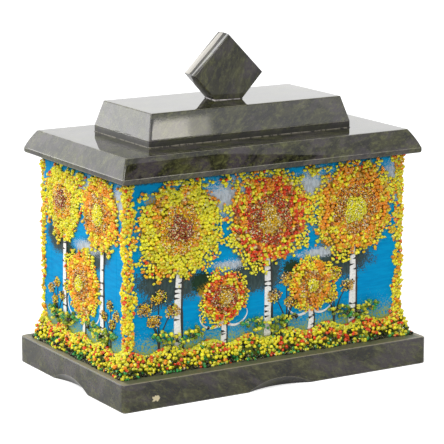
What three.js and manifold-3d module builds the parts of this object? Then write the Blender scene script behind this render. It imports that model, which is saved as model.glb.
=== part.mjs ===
// A keepsake box of polished serpentine: a plinth with scooped lower edges, four plates as walls, and a
// loose two-tier lid with a square tile for a knob. The walls carry flowers, leaves and borders of
// crushed-stone chips, glued on in relief.
// Millimetres. The origin is the centre of the plinth's underside, X runs along the long walls,
// the front wall faces -Y and Z points up.
import * as THREE from 'three';
import { mergeVertices } from 'three/addons/utils/BufferGeometryUtils.js';
import Module from 'manifold-3d';

// Driving dimensions

// The box of four plates, measured outside
const boxLength = 145;
const boxWidth = 78;
const wallHeight = 86.6;
const wallThickness = 8;

// The plinth under it
const plinthHeight = 12.7;
const plinthLedgeAtEnds = 7.5;
const plinthLedgeAtFront = 11;
const plinthCornerRadius = 2;
const plinthTopChamfer = 0.45;
const plinthFootRounding = 0.4;

// The scoop in the middle of each lower edge of the plinth, ground with the rim of a wheel
const scoopHeight = 4.8;
const scoopDepth = 4.1;
const scoopWheelRadius = 49;

// The lower slab of the lid
const lidOverhangAtEnds = 5.2;
const lidOverhangAtFront = 8.75;
const lidThickness = 10.6;
const lidRimHeight = 2.3;
const lidBevelInAtEnds = 4.4;
const lidBevelInAtFront = 5.3;
const lidBevelSwell = 0.35;
const lidRimRounding = 1.1;
const lidCornerRadius = 0.9;

// The upper slab of the lid
const crownMarginAtEnds = 20.6;
const crownMarginAtFront = 16.9;
const crownThickness = 14.5;
const crownRimHeight = 3.2;
const crownBevelInAtEnds = 3;
const crownBevelInAtFront = 3.4;
const crownCornerRadius = 0.6;
const crownFootRounding = 0.4;

// The tile that stands on its cut corner
const knobHalfWidth = 17.3;
const knobRise = 18.4;
const knobDrop = 11.7;
const knobFootHalfWidth = 6.9;
const knobThickness = 11.5;
const knobChamfer = 0.4;
const knobOffset = 0.4;
const knobTurn = -5.5;

// The strips under the lid that keep it in place
const stripWidth = 5;
const stripHeight = 5;
const lidFitClearance = 1;

// The felt on the floor of the box
const liningThickness = 1.5;
const liningClearance = 0.4;

// The border of chips along the foot of the walls
const footBorderHeight = 11;
const footBorderDip = 3;
const footBorderSpread = 5;
const footBorderSpreadDip = 1.4;
const footBorderTopRelief = 1.6;
const footBorderToe = 0.85;
const footBorderWave = 21;
const footBorderStep = 5.5;

// The garlands of chips that run up the corners
const garlandWidth = 3.5;
const garlandRelief = 0.7;
const garlandWave = 12;
const garlandWaveDepth = 0.8;
const garlandTopMargin = 0.8;

// The flowers of chips. They are as large as the upper row of their wall leaves room for. Two rows of
// petals swell up to the relief, with valleys between them, round a higher heart.
const frontFlowerCount = 3;
const endFlowerCount = 2;
const flowerRelief = 2.4;
const flowerTopMargin = 2;
const flowerSideMargin = 1.5;
const flowerGap = 3;
const flowerPetals = 8;
const petalNotch = 0.13;
const petalValley = 0.42;
const heartShare = 0.3;
const heartRelief = 0.9;
const lowerFlowerShare = 0.75;

// The pair of leaves at the foot of each upper flower's stalk
const leafTipGap = 6;
const leafWidth = 9;
const leafRise = 6;
const leafRelief = 1.5;

// A field of chips slopes in towards its top by this share of its relief
const reliefSlope = 0.35;

// Chips end this far from the next field of chips
const chipGap = 0.3;

// Sizes that follow
const plinthLength = boxLength + 2 * plinthLedgeAtEnds;
const plinthWidth = boxWidth + 2 * plinthLedgeAtFront;
const wallTop = plinthHeight + wallHeight;
const innerLength = boxLength - 2 * wallThickness;
const innerWidth = boxWidth - 2 * wallThickness;
const lidLength = boxLength + 2 * lidOverhangAtEnds;
const lidWidth = boxWidth + 2 * lidOverhangAtFront;
const lidTop = wallTop + lidThickness;
const crownLength = lidLength - 2 * (lidBevelInAtEnds + crownMarginAtEnds);
const crownWidth = lidWidth - 2 * (lidBevelInAtFront + crownMarginAtFront);
const crownTop = lidTop + crownThickness;
const leafLength = (flowerPitch(boxWidth, endFlowerCount) - leafTipGap) / 2;

// How finely curves are cut
const cornerSteps = 3;
const wheelSides = 180;
const pointsPerPetal = 4;
const leafCurveSteps = 5;
const bevelSteps = 4;
const stepsPerGarlandWave = 3;

// Finishes
const serpentine = finish(0x35362a, 0.18);
const darkSerpentine = finish(0x2b2d22, 0.22);
const bluePaint = finish(0x0f86c8, 0.55);
const skyPaint = finish(0x3aa0d4, 0.55);
const felt = finish(0x7a1420, 0.95);
const lemonChips = finish(0xe3d51a, 0.6);
const orangeChips = finish(0xf08a1e, 0.6);
const redChips = finish(0xd9401c, 0.6);
const leafChips = finish(0x8f9a1c, 0.6);
const mixedChips = finish(0xa9a01e, 0.65);

const wasm = await Module();
wasm.setup();

const box = new THREE.Group();

// The upper flowers fill the row between the garlands of their wall
function flowerRadius(panelLength, count) {
  const row = panelLength - 2 * (garlandWidth + flowerSideMargin);
  return (row - (count - 1) * flowerGap) / (2 * count);
}

function flowerPitch(panelLength, count) {
  return 2 * flowerRadius(panelLength, count) + flowerGap;
}

function finish(color, roughness) {
  return new THREE.MeshStandardMaterial({ color, roughness, metalness: 0 });
}

function addPiece(name, geometry, material, x = 0, y = 0, z = 0, parent = box) {
  const mesh = new THREE.Mesh(geometry, material);
  mesh.name = name;
  mesh.position.set(x, y, z);
  parent.add(mesh);
  return mesh;
}

// Solids and their booleans

function toSolid(geometry) {
  const bare = geometry.clone();
  bare.deleteAttribute('normal');
  bare.deleteAttribute('uv');
  const merged = mergeVertices(bare);
  return new wasm.Manifold(new wasm.Mesh({
    numProp: 3,
    vertProperties: new Float32Array(merged.attributes.position.array),
    triVerts: new Uint32Array(merged.index.array),
  }));
}

function toGeometry(solid) {
  const mesh = solid.getMesh();
  const geometry = new THREE.BufferGeometry();
  geometry.setAttribute('position', new THREE.BufferAttribute(mesh.vertProperties, mesh.numProp));
  geometry.setIndex(new THREE.BufferAttribute(mesh.triVerts, 1));
  geometry.computeVertexNormals();
  return geometry;
}

// A closed solid through rings of points, listed from one end to the other. Each ring has the same
// number of points, and turns anticlockwise seen from the far end.
function ringSolid(rings) {
  const count = rings[0].length;
  const positions = rings.flat().flatMap((point) => [point.x, point.y, point.z]);
  const faces = [];
  for (let ring = 0; ring + 1 < rings.length; ring += 1) {
    for (let i = 0; i < count; i += 1) {
      const here = ring * count + i;
      const next = ring * count + ((i + 1) % count);
      faces.push(here, next, here + count);
      faces.push(next, next + count, here + count);
    }
  }
  const last = (rings.length - 1) * count;
  for (let i = 1; i + 1 < count; i += 1) {
    faces.push(0, i + 1, i);
    faces.push(last, last + i, last + i + 1);
  }
  const geometry = new THREE.BufferGeometry();
  geometry.setAttribute('position', new THREE.Float32BufferAttribute(positions, 3));
  geometry.setIndex(faces);
  geometry.computeVertexNormals();
  return geometry;
}

// A rectangle with rounded corners, as a ring at height z
function roundedRing(length, width, radius, z) {
  const corners = [[1, 1, 0], [-1, 1, 1], [-1, -1, 2], [1, -1, 3]];
  const ring = [];
  for (const [signX, signY, quarter] of corners) {
    for (let step = 0; step <= cornerSteps; step += 1) {
      const angle = (Math.PI / 2) * (quarter + step / cornerSteps);
      const x = signX * (length / 2 - radius) + radius * Math.cos(angle);
      const y = signY * (width / 2 - radius) + radius * Math.sin(angle);
      ring.push(new THREE.Vector3(x, y, z));
    }
  }
  return ring;
}

// A slab whose outline is drawn in by inX and inY at each of its levels
function slab(length, width, radius, levels) {
  return ringSolid(levels.map(({ z, inX, inY }) =>
    roundedRing(length - 2 * inX, width - 2 * inY, radius, z)));
}

// The rounded foot, the upright rim and the bevel of a slab. The bevel swells by swell halfway up.
function bevelledLevels(thickness, rimHeight, rounding, bevelInX, bevelInY, swell) {
  const eased = rounding * (1 - Math.SQRT1_2);
  const levels = [
    { z: 0, inX: rounding, inY: rounding },
    { z: eased, inX: eased, inY: eased },
    { z: rounding, inX: 0, inY: 0 },
    { z: rimHeight, inX: 0, inY: 0 },
  ];
  const parts = swell > 0 ? bevelSteps : 1;
  for (let part = 1; part <= parts; part += 1) {
    const share = part / parts;
    const bulge = swell * 4 * share * (1 - share);
    levels.push({
      z: rimHeight + (thickness - rimHeight) * share,
      inX: bevelInX * share - bulge,
      inY: bevelInY * share - bulge,
    });
  }
  return levels;
}

// Plinth

// A wheel laid along the slant that runs from the scoop's top edge in to its deepest line. It cuts the
// middle of the lower edge that lies reach away from the centre, in the direction turn.
function scoopWheel(reach, turn) {
  const slant = Math.atan2(scoopHeight, scoopDepth);
  const wheelLength = 4 * (scoopDepth + scoopHeight);
  const wheel = new THREE.CylinderGeometry(scoopWheelRadius, scoopWheelRadius, wheelLength, wheelSides);
  wheel.rotateX(Math.PI / wheelSides);
  wheel.translate(0, 0, -scoopWheelRadius);
  wheel.rotateX(-slant);
  wheel.translate(0, -reach, scoopHeight);
  wheel.rotateZ(turn);
  return toSolid(wheel);
}

function plinthGeometry() {
  const plate = slab(plinthLength, plinthWidth, plinthCornerRadius, [
    { z: 0, inX: plinthFootRounding, inY: plinthFootRounding },
    { z: plinthFootRounding, inX: 0, inY: 0 },
    { z: plinthHeight - plinthTopChamfer, inX: 0, inY: 0 },
    { z: plinthHeight, inX: plinthTopChamfer, inY: plinthTopChamfer },
  ]);
  let solid = toSolid(plate);
  for (let side = 0; side < 4; side += 1) {
    const reach = side % 2 === 0 ? plinthWidth / 2 : plinthLength / 2;
    solid = solid.subtract(scoopWheel(reach, (side * Math.PI) / 2));
  }
  return toGeometry(solid);
}

// Walls and lining

function addWalls() {
  const longPlate = new THREE.BoxGeometry(boxLength, wallThickness, wallHeight);
  const shortPlate = new THREE.BoxGeometry(wallThickness, innerWidth, wallHeight);
  const middle = plinthHeight + wallHeight / 2;
  const frontY = (boxWidth - wallThickness) / 2;
  const endX = (boxLength - wallThickness) / 2;
  addPiece('front_wall', longPlate, bluePaint, 0, -frontY, middle);
  addPiece('back_wall', longPlate, bluePaint, 0, frontY, middle);
  addPiece('left_wall', shortPlate, skyPaint, -endX, 0, middle);
  addPiece('right_wall', shortPlate, skyPaint, endX, 0, middle);
}

function addLining() {
  const length = innerLength - 2 * liningClearance;
  const width = innerWidth - 2 * liningClearance;
  const sheet = new THREE.BoxGeometry(length, width, liningThickness);
  addPiece('floor_lining', sheet, felt, 0, 0, plinthHeight + liningThickness / 2);
}

// Lid

function knobGeometry() {
  const outline = new THREE.Shape();
  outline.moveTo(-knobFootHalfWidth, 0);
  outline.lineTo(knobFootHalfWidth, 0);
  outline.lineTo(knobHalfWidth, knobDrop);
  outline.lineTo(0, knobDrop + knobRise);
  outline.lineTo(-knobHalfWidth, knobDrop);
  const tile = new THREE.ExtrudeGeometry(outline, {
    depth: knobThickness - 2 * knobChamfer,
    bevelEnabled: true,
    bevelThickness: knobChamfer,
    bevelSize: knobChamfer,
    bevelOffset: -knobChamfer,
    bevelSegments: 1,
  });
  tile.translate(0, 0, knobChamfer - knobThickness / 2);
  tile.rotateX(Math.PI / 2);
  return tile;
}

function addStrips() {
  const outerLength = innerLength - 2 * lidFitClearance;
  const outerWidth = innerWidth - 2 * lidFitClearance;
  const longStrip = new THREE.BoxGeometry(outerLength, stripWidth, stripHeight);
  const shortStrip = new THREE.BoxGeometry(stripWidth, outerWidth - 2 * stripWidth, stripHeight);
  const middle = wallTop - stripHeight / 2;
  const frontY = (outerWidth - stripWidth) / 2;
  const endX = (outerLength - stripWidth) / 2;
  addPiece('lid_strip_front', longStrip, darkSerpentine, 0, -frontY, middle);
  addPiece('lid_strip_back', longStrip, darkSerpentine, 0, frontY, middle);
  addPiece('lid_strip_left', shortStrip, darkSerpentine, -endX, 0, middle);
  addPiece('lid_strip_right', shortStrip, darkSerpentine, endX, 0, middle);
}

function addLid() {
  const lowerLevels = bevelledLevels(
    lidThickness, lidRimHeight, lidRimRounding, lidBevelInAtEnds, lidBevelInAtFront, lidBevelSwell);
  const crownLevels = bevelledLevels(
    crownThickness, crownRimHeight, crownFootRounding, crownBevelInAtEnds, crownBevelInAtFront, 0);
  const lowerSlab = slab(lidLength, lidWidth, lidCornerRadius, lowerLevels);
  const crown = slab(crownLength, crownWidth, crownCornerRadius, crownLevels);
  addPiece('lid_lower_slab', lowerSlab, serpentine, 0, 0, wallTop);
  addPiece('lid_upper_slab', crown, serpentine, 0, 0, lidTop);
  const knob = addPiece('lid_knob', knobGeometry(), serpentine, knobOffset, 0, crownTop);
  knob.rotation.z = THREE.MathUtils.degToRad(knobTurn);
  addStrips();
}

// Decoration. Each wall has a panel group whose X runs along the wall, whose Y points up from the
// plinth's top and whose Z points out of the wall's face.

function panelGroup(turn, reach) {
  const turned = new THREE.Group();
  const panel = new THREE.Group();
  turned.rotation.z = turn;
  panel.rotation.x = Math.PI / 2;
  panel.position.set(0, -reach, plinthHeight);
  turned.add(panel);
  box.add(turned);
  return panel;
}

// A plate of chips with the given outline, its edge sloping in towards the top
function reliefPlate(points, relief) {
  const slope = relief * reliefSlope;
  return new THREE.ExtrudeGeometry(new THREE.Shape(points), {
    depth: relief - slope,
    bevelEnabled: true,
    bevelThickness: slope,
    bevelSize: slope,
    bevelOffset: -slope,
    bevelSegments: 1,
  });
}

// The plate without the slope that an extrusion also gives its back: what lies behind the wall's face
// is cut away, and the outline is widest at the wall.
function reliefSolid(points, relief) {
  const plate = reliefPlate(points, relief);
  const behind = new THREE.BoxGeometry(boxLength, boxLength, 2 * relief);
  behind.translate(0, 0, -relief);
  return toSolid(plate).subtract(toSolid(behind));
}

// How near the middle of an outer petal a direction lies: 0 in the valley, 1 on the ridge
function outerPetal(angle) {
  return Math.abs(Math.sin((flowerPetals * angle) / 2));
}

// The same for the inner petals, which lie between the outer ones
function innerPetal(angle) {
  return Math.abs(Math.cos((flowerPetals * angle) / 2));
}

function evenRing() {
  return 1;
}

// A flower's rings from its rim to its heart, as shares of its reach and of its relief
const flowerRings = [
  { share: 1, height: 0, ridge: evenRing },
  { share: 0.95, height: 0.5, ridge: evenRing },
  { share: 0.8, height: 1, ridge: outerPetal },
  { share: 0.62, height: 0.64, ridge: evenRing },
  { share: 0.48, height: 1.08, ridge: innerPetal },
  { share: 1.15 * heartShare, height: 0.7, ridge: evenRing },
  { share: 0.8 * heartShare, height: 1 + (0.6 * heartRelief) / flowerRelief, ridge: evenRing },
  { share: 0.35 * heartShare, height: 1 + heartRelief / flowerRelief, ridge: evenRing },
];

function flowerRing(radius, { share, height, ridge }) {
  const count = flowerPetals * pointsPerPetal;
  const points = [];
  for (let i = 0; i < count; i += 1) {
    const angle = (2 * Math.PI * i) / count;
    const reach = radius * share * (1 - petalNotch * share * (1 - outerPetal(angle)));
    const out = flowerRelief * height * (1 - petalValley * (1 - ridge(angle)));
    points.push(new THREE.Vector3(reach * Math.cos(angle), reach * Math.sin(angle), out));
  }
  return points;
}

function flowerGeometry(radius) {
  return ringSolid(flowerRings.map((ring) => flowerRing(radius, ring)));
}

// Two leaves that rise to the left and the right from the stalk
function leafOutline() {
  const foot = new THREE.Vector2(0, 0);
  const tip = new THREE.Vector2(leafLength, leafRise);
  const top = new THREE.Vector2(0, leafWidth / 2);
  const belly = new THREE.Vector2(leafLength / 2, 0);
  const back = new THREE.Vector2(leafLength / 3, leafRise + leafWidth / 3);
  const rightLower = new THREE.QuadraticBezierCurve(foot, belly, tip);
  const rightUpper = new THREE.QuadraticBezierCurve(tip, back, top);
  const lower = rightLower.getPoints(leafCurveSteps);
  const upper = rightUpper.getPoints(leafCurveSteps);
  const right = [...lower, ...upper.slice(1)];
  const left = right.slice(1, -1).reverse().map((point) => new THREE.Vector2(-point.x, point.y));
  return [...right, ...left];
}

// Upper flowers in a row, a leaf pair at the foot of each one's stalk, and a lower flower in each notch
// between two upper ones and the foot border
function addFlowers(panel, side, panelLength, count, colours) {
  const radius = flowerRadius(panelLength, count);
  const pitch = flowerPitch(panelLength, count);
  const start = (-pitch * (count - 1)) / 2;
  const rowHeight = wallHeight - flowerTopMargin - radius;
  const leafHeight = footBorderHeight + chipGap;
  const upper = flowerGeometry(radius);
  const leaves = toGeometry(reliefSolid(leafOutline(), leafRelief));
  const room = rowHeight - footBorderHeight - flowerGap;
  const reach = radius + flowerGap;
  const notchRadius = ((pitch / 2) ** 2 + room ** 2 - reach ** 2) / (2 * (room + reach));
  const lower = flowerGeometry(notchRadius * lowerFlowerShare);
  const lowerHeight = footBorderHeight + flowerGap + notchRadius;
  for (let i = 0; i < count; i += 1) {
    const x = start + pitch * i;
    const colour = colours[i % colours.length];
    addPiece(`${side}_upper_flower_${i + 1}`, upper, colour, x, rowHeight, 0, panel);
    addPiece(`${side}_leaves_${i + 1}`, leaves, leafChips, x, leafHeight, 0, panel);
  }
  for (let i = 0; i + 1 < count; i += 1) {
    const x = start + pitch * (i + 0.5);
    const colour = colours[(i + 1) % colours.length];
    addPiece(`${side}_lower_flower_${i + 1}`, lower, colour, x, lowerHeight, 0, panel);
  }
}

// The foot border's section at x along the wall, from the wall's face out onto the plinth. lean is how
// far x grows for each millimetre out: 0 along the wall, and 1 or -1 at a mitred corner.
function borderSection(x, lean, height, spreadOut) {
  const profile = [
    [0, 0],
    [height, 0],
    [height, footBorderTopRelief * (1 - reliefSlope)],
    [height * footBorderToe, footBorderTopRelief],
    [height / 2, (spreadOut + footBorderTopRelief) / 2],
    [height * (1 - footBorderToe), spreadOut * footBorderToe],
    [0, spreadOut],
  ];
  return profile.map(([up, out]) => new THREE.Vector3(x + lean * out, up, out));
}

// A border along one wall. It dips and swells in waves, comes back to its full height at both ends,
// and meets the borders round the corners at a mitre.
function footBorderGeometry(panelLength) {
  const half = panelLength / 2 - chipGap;
  const steps = Math.round((2 * half) / footBorderStep);
  const waves = Math.round((2 * half) / footBorderWave);
  const rings = [];
  for (let i = 0; i <= steps; i += 1) {
    const share = i / steps;
    const wave = (1 - Math.cos(2 * Math.PI * waves * share)) / 2;
    const height = footBorderHeight - footBorderDip * wave;
    const spreadOut = footBorderSpread - footBorderSpreadDip * Math.sin(Math.PI * waves * share) ** 2;
    const lean = (i === steps) - (i === 0);
    rings.push(borderSection(half * (2 * share - 1), lean, height, spreadOut));
  }
  return ringSolid(rings);
}

// Garland round one vertical corner of the box, as an upright angle with wavy edges
function garlandGeometry() {
  const bottom = footBorderHeight + chipGap;
  const top = wallHeight - garlandTopMargin;
  const steps = Math.round((stepsPerGarlandWave * (top - bottom)) / garlandWave);
  const rings = [];
  for (let i = 0; i <= steps; i += 1) {
    const z = bottom + ((top - bottom) * i) / steps;
    const wave = (1 - Math.cos((2 * Math.PI * (z - bottom)) / garlandWave)) / 2;
    const reach = garlandWidth - garlandWaveDepth * wave;
    const out = garlandRelief - (garlandWaveDepth * wave) / 2;
    const shoulder = reach - out * reliefSlope;
    const corner = -out * reliefSlope;
    rings.push([
      new THREE.Vector3(0, 0, z),
      new THREE.Vector3(0, reach, z),
      new THREE.Vector3(-out, shoulder, z),
      new THREE.Vector3(-out, corner, z),
      new THREE.Vector3(corner, -out, z),
      new THREE.Vector3(shoulder, -out, z),
      new THREE.Vector3(reach, 0, z),
    ]);
  }
  return ringSolid(rings);
}

function addGarlands() {
  const garland = garlandGeometry();
  const corners = [
    ['front_left', -1, -1, 0],
    ['front_right', 1, -1, 1],
    ['back_right', 1, 1, 2],
    ['back_left', -1, 1, 3],
  ];
  for (const [name, signX, signY, quarter] of corners) {
    const mesh = addPiece(`${name}_corner_garland`, garland, lemonChips,
      (signX * boxLength) / 2, (signY * boxWidth) / 2, plinthHeight);
    mesh.rotation.z = (quarter * Math.PI) / 2;
  }
}

function addDecoration() {
  const sides = [
    ['front', [lemonChips, redChips, orangeChips]],
    ['right', [redChips, lemonChips]],
    ['back', [orangeChips, lemonChips, redChips]],
    ['left', [lemonChips, orangeChips]],
  ];
  for (const [quarter, [side, colours]] of sides.entries()) {
    const long = quarter % 2 === 0;
    const panelLength = long ? boxLength : boxWidth;
    const reach = (long ? boxWidth : boxLength) / 2;
    const panel = panelGroup((quarter * Math.PI) / 2, reach);
    addFlowers(panel, side, panelLength, long ? frontFlowerCount : endFlowerCount, colours);
    addPiece(`${side}_foot_border`, footBorderGeometry(panelLength), mixedChips, 0, 0, 0, panel);
  }
  addGarlands();
}

addPiece('plinth', plinthGeometry(), serpentine);
addWalls();
addLining();
addLid();
addDecoration();

export default box;
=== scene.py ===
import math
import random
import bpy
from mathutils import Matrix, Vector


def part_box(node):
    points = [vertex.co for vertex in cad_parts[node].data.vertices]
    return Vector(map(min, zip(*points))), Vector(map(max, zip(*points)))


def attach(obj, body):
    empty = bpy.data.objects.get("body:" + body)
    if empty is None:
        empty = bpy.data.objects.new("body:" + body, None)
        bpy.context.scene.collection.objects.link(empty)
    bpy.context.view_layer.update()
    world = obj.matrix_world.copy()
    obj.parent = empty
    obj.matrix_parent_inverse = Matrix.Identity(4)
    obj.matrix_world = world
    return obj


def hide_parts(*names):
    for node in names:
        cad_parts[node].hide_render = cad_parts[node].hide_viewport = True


bl_info = {
    "name": "Stone trinket box",
    "version": (1, 0, 0),
    "blender": (4, 5, 0),
    "location": "3D View > Sidebar > Trinket box",
    "description": "Dresses a polished stone box with painted walls and flowers of crushed-stone chips",
    "category": "Add Mesh",
}

import bmesh
import bpy
import numpy as np
from mathutils import Matrix, Vector, noise

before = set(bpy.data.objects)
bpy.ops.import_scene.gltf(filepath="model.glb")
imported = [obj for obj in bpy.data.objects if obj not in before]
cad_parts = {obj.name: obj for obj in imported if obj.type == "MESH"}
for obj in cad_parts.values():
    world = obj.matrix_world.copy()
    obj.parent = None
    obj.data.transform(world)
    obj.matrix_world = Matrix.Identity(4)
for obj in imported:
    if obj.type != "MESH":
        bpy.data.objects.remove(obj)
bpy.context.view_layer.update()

MM = 0.001

# Places and sizes of the frame, in metres
plinth_low, plinth_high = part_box("plinth")
front_low, front_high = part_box("front_wall")
lid_low, lid_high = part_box("lid_lower_slab")
crown_low, crown_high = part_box("lid_upper_slab")
knob_low, knob_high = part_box("lid_knob")
PLINTH_TOP = plinth_high.z
WALL_HEIGHT = front_high.z - front_low.z
BOX_LENGTH = front_high.x - front_low.x
BOX_WIDTH = -2 * front_low.y
QUARTERS = {"front": 0, "right": 1, "back": 2, "left": 3}


# Settings


def colour_property(name, description, default):
    return bpy.props.FloatVectorProperty(name=name, description=description, subtype="COLOR", default=default)


def length_property(name, description, default):
    return bpy.props.FloatProperty(name=name, description=description, unit="LENGTH", default=default)


class StoneSettings(bpy.types.PropertyGroup):
    ground: colour_property("Ground", "Darkest colour of the polished stone", (0.011, 0.011, 0.008))
    olive: colour_property("Olive", "Colour of the broad olive clouds", (0.042, 0.041, 0.016))
    moss: colour_property("Moss", "Colour of the small yellow-green patches", (0.125, 0.13, 0.045))
    violet: colour_property("Violet grey", "Colour of the violet-grey clouds", (0.052, 0.043, 0.048))
    worn: colour_property("Worn edge", "Colour of bruised stone along the edges", (0.36, 0.33, 0.25))
    cloud_size: length_property("Cloud size", "Width of the broad clouds", 14 * MM)
    arris: length_property("Arris", "Reach of the rounding along an edge", 0.45 * MM)
    nick: length_property("Nick", "Deepest nick along an edge", 0.5 * MM)
    polish: bpy.props.FloatProperty(
        name="Polish", description="Roughness of the polished faces", default=0.022, min=0, max=1)


class PaintSettings(bpy.types.PropertyGroup):
    blue: colour_property("Blue", "Ground colour of the walls", (0.001, 0.31, 0.62))
    mist: colour_property("Mist", "Pale sprayed patches", (0.52, 0.58, 0.64))
    thicket: colour_property("Thicket", "Dark sprayed patches", (0.022, 0.05, 0.026))
    undercoat: colour_property("Undercoat", "Golden ground under the chips of the flowers", (0.4, 0.27, 0.02))
    slate: colour_property("Slate", "Slate-grey sprayed patches", (0.055, 0.085, 0.085))
    meadow: colour_property("Meadow", "Speckles along the foot of the walls", (0.3, 0.38, 0.07))
    stalk: colour_property("Stalk", "Dark strokes of the stalks", (0.012, 0.014, 0.01))
    highlight: colour_property("Highlight", "White strokes", (0.9, 0.9, 0.86))


class ChipSettings(bpy.types.PropertyGroup):
    lemon: colour_property("Lemon", "Lemon yellow chips", (0.98, 0.86, 0.03))
    olive: colour_property("Olive yellow", "Olive yellow chips", (0.78, 0.75, 0.04))
    gold: colour_property("Gold", "Golden chips", (0.85, 0.52, 0.013))
    orange: colour_property("Orange", "Orange chips", (0.95, 0.33, 0.018))
    red: colour_property("Red", "Red chips", (0.8, 0.065, 0.014))
    maroon: colour_property("Maroon", "Dark red chips", (0.3, 0.035, 0.014))
    green: colour_property("Green", "Green chips", (0.04, 0.32, 0.08))
    leaf: colour_property("Leaf", "Leaf green chips", (0.2, 0.3, 0.015))
    rust: colour_property("Rust", "Red-brown grains", (0.36, 0.075, 0.025))
    bronze: colour_property("Bronze", "Brown-gold grains", (0.5, 0.27, 0.035))
    sand: colour_property("Sand", "Pale grains", (0.85, 0.68, 0.32))
    black: colour_property("Black", "Dark chips of the foot border", (0.016, 0.02, 0.012))
    large: length_property("Large chip", "Width of the larger chips", 2.6 * MM)
    small: length_property("Small chip", "Width of the smaller chips", 2.05 * MM)
    grain: length_property("Grain", "Width of the fine grains", 1.05 * MM)


class StageSettings(bpy.types.PropertyGroup):
    azimuth: bpy.props.FloatProperty(
        name="Azimuth", description="Camera's turn round the box", unit="ROTATION",
        default=math.radians(-31.07))
    elevation: bpy.props.FloatProperty(
        name="Elevation", description="Camera's height over the horizon", unit="ROTATION",
        default=math.radians(12.03))
    distance: length_property("Distance", "From the camera to its target", 1.0375)
    target: bpy.props.FloatVectorProperty(
        name="Target", description="Point that the camera looks at", subtype="XYZ", unit="LENGTH",
        default=(-0.0004, 0.0, 0.06675))
    lens: bpy.props.FloatProperty(
        name="Lens", description="Focal length in millimetres", unit="CAMERA", default=182.8)
    floor: length_property("Floor", "Width of the floor", 9.0)
    level: bpy.props.FloatProperty(
        name="Level", description="Strength of the even light from all round", default=0.55)


# Meshes

CORNER_STEPS = 4
ARRIS_STEPS = 4
STONE_STEP = 1.4 * MM


def new_piece(name, vertices, faces, material, body="box_body", replaced=()):
    """A mesh that is placed in the frame, rides on a body and stands for the replaced nodes."""
    mesh = bpy.data.meshes.new(name)
    mesh.from_pydata(vertices, [], faces)
    mesh.materials.append(material)
    mesh.polygons.foreach_set("use_smooth", [True] * len(mesh.polygons))
    mesh.update()
    piece = bpy.data.objects.new(name, mesh)
    bpy.context.scene.collection.objects.link(piece)
    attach(piece, body)
    if replaced:
        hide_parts(*replaced)
    return piece


def rectangle(length, width):
    """Corners of a rectangle, anticlockwise."""
    x, y = length / 2, width / 2
    return [Vector((-x, -y)), Vector((x, -y)), Vector((x, y)), Vector((-x, y))]


def edge_cuts(corners):
    """Into how many parts each edge of a polygon is cut."""
    return [max(2, round((corners[(i + 1) % len(corners)] - corner).length / STONE_STEP))
            for i, corner in enumerate(corners)]


def eased(before, corner, after, reach_before, reach_after, steps):
    """Points that round off a corner, with their share of the way round it."""
    start = corner + (before - corner).normalized() * reach_before
    end = corner + (after - corner).normalized() * reach_after
    for part in range(steps + 1):
        share = part / steps
        yield start.lerp(corner, share).lerp(corner.lerp(end, share), share), share


def polygon_outline(corners, ease, cuts):
    """(point, outward normal, how near a corner's middle) round an anticlockwise polygon."""
    outline = []
    count = len(corners)
    for i, corner in enumerate(corners):
        before, after = corners[i - 1], corners[(i + 1) % count]
        arriving, leaving = (corner - before).normalized(), (after - corner).normalized()
        first, second = Vector((arriving.y, -arriving.x)), Vector((leaving.y, -leaving.x))
        for point, share in eased(before, corner, after, ease, ease, CORNER_STEPS):
            outline.append((point, first.lerp(second, share).normalized(), 1 - abs(2 * share - 1)))
        end, goal = corner + leaving * ease, after - leaving * ease
        outline += [(end.lerp(goal, cut / cuts[i]), second, 0.0) for cut in range(1, cuts[i])]
    return outline


def eased_profile(corners):
    """(place, worn) along a section. A corner is (place, reach of its rounding, worn)."""
    profile = [(corners[0][0], 0.0)]
    for (before, _, _), (corner, ease, worn), (after, _, _) in zip(corners, corners[1:], corners[2:]):
        reach_before, reach_after = (min(ease, (other - corner).length / 2) for other in (before, after))
        for place, share in eased(before, corner, after, reach_before, reach_after, ARRIS_STEPS):
            profile.append((place, worn * (1 - abs(2 * share - 1))))
    profile.append((corners[-1][0], 0.0))
    return profile


def slab_rings(length, width, radius, profile, z, middle):
    """Rings of (point, outward, worn) of a slab. A profile's place is (inset x, inset y, height)."""
    cuts = edge_cuts(rectangle(length, width))
    rings = []
    for place, worn in profile:
        corners = rectangle(length - 2 * place.x, width - 2 * place.y)
        upward = 1 if place.z > middle else -1
        on_flat = place is profile[0][0] or place is profile[-1][0]
        ring = []
        for point, normal, cornered in polygon_outline(corners, radius, cuts):
            outward = Vector((normal.x, normal.y, upward)).normalized()
            bruised = 0.0 if on_flat else max(worn, 0.7 * cornered)
            ring.append((Vector((point.x, point.y, z + place.z)), outward, bruised))
        rings.append(ring)
    return rings


def nick_depth(point, deepest):
    """How far an edge is broken back at a point: not at all along most of it."""
    fine = noise.noise(point * 1100)
    broad = noise.noise(point * 160 + Vector((3.1, 7.7, 1.3)))
    return deepest * max(0.0, 0.55 * fine + broad - 0.33) * 2.2


def stone_piece(name, rings, material, body, replaced, moved=None):
    """A closed solid through rings that turn anticlockwise seen from the last one."""
    deepest = bpy.context.scene.trinket_stone.nick
    vertices, edge = [], []
    for ring in rings:
        for point, outward, worn in ring:
            if worn > 0.5:
                point = point - outward * nick_depth(point, deepest) * worn
            vertices.append(moved @ point if moved else point)
            edge.append(worn)
    count = len(rings[0])
    faces = [tuple(reversed(range(count)))]
    for ring in range(len(rings) - 1):
        for i in range(count):
            here, following = ring * count + i, ring * count + (i + 1) % count
            faces.append((here, following, following + count, here + count))
    faces.append(tuple(range(len(vertices) - count, len(vertices))))
    piece = new_piece(name, vertices, faces, material, body, replaced)
    piece.data.attributes.new("edge", "FLOAT", "POINT").data.foreach_set("value", edge)
    weighted = piece.modifiers.new("Even normals", "WEIGHTED_NORMAL")
    weighted.keep_sharp = True
    return piece


# Shader nodes


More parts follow.
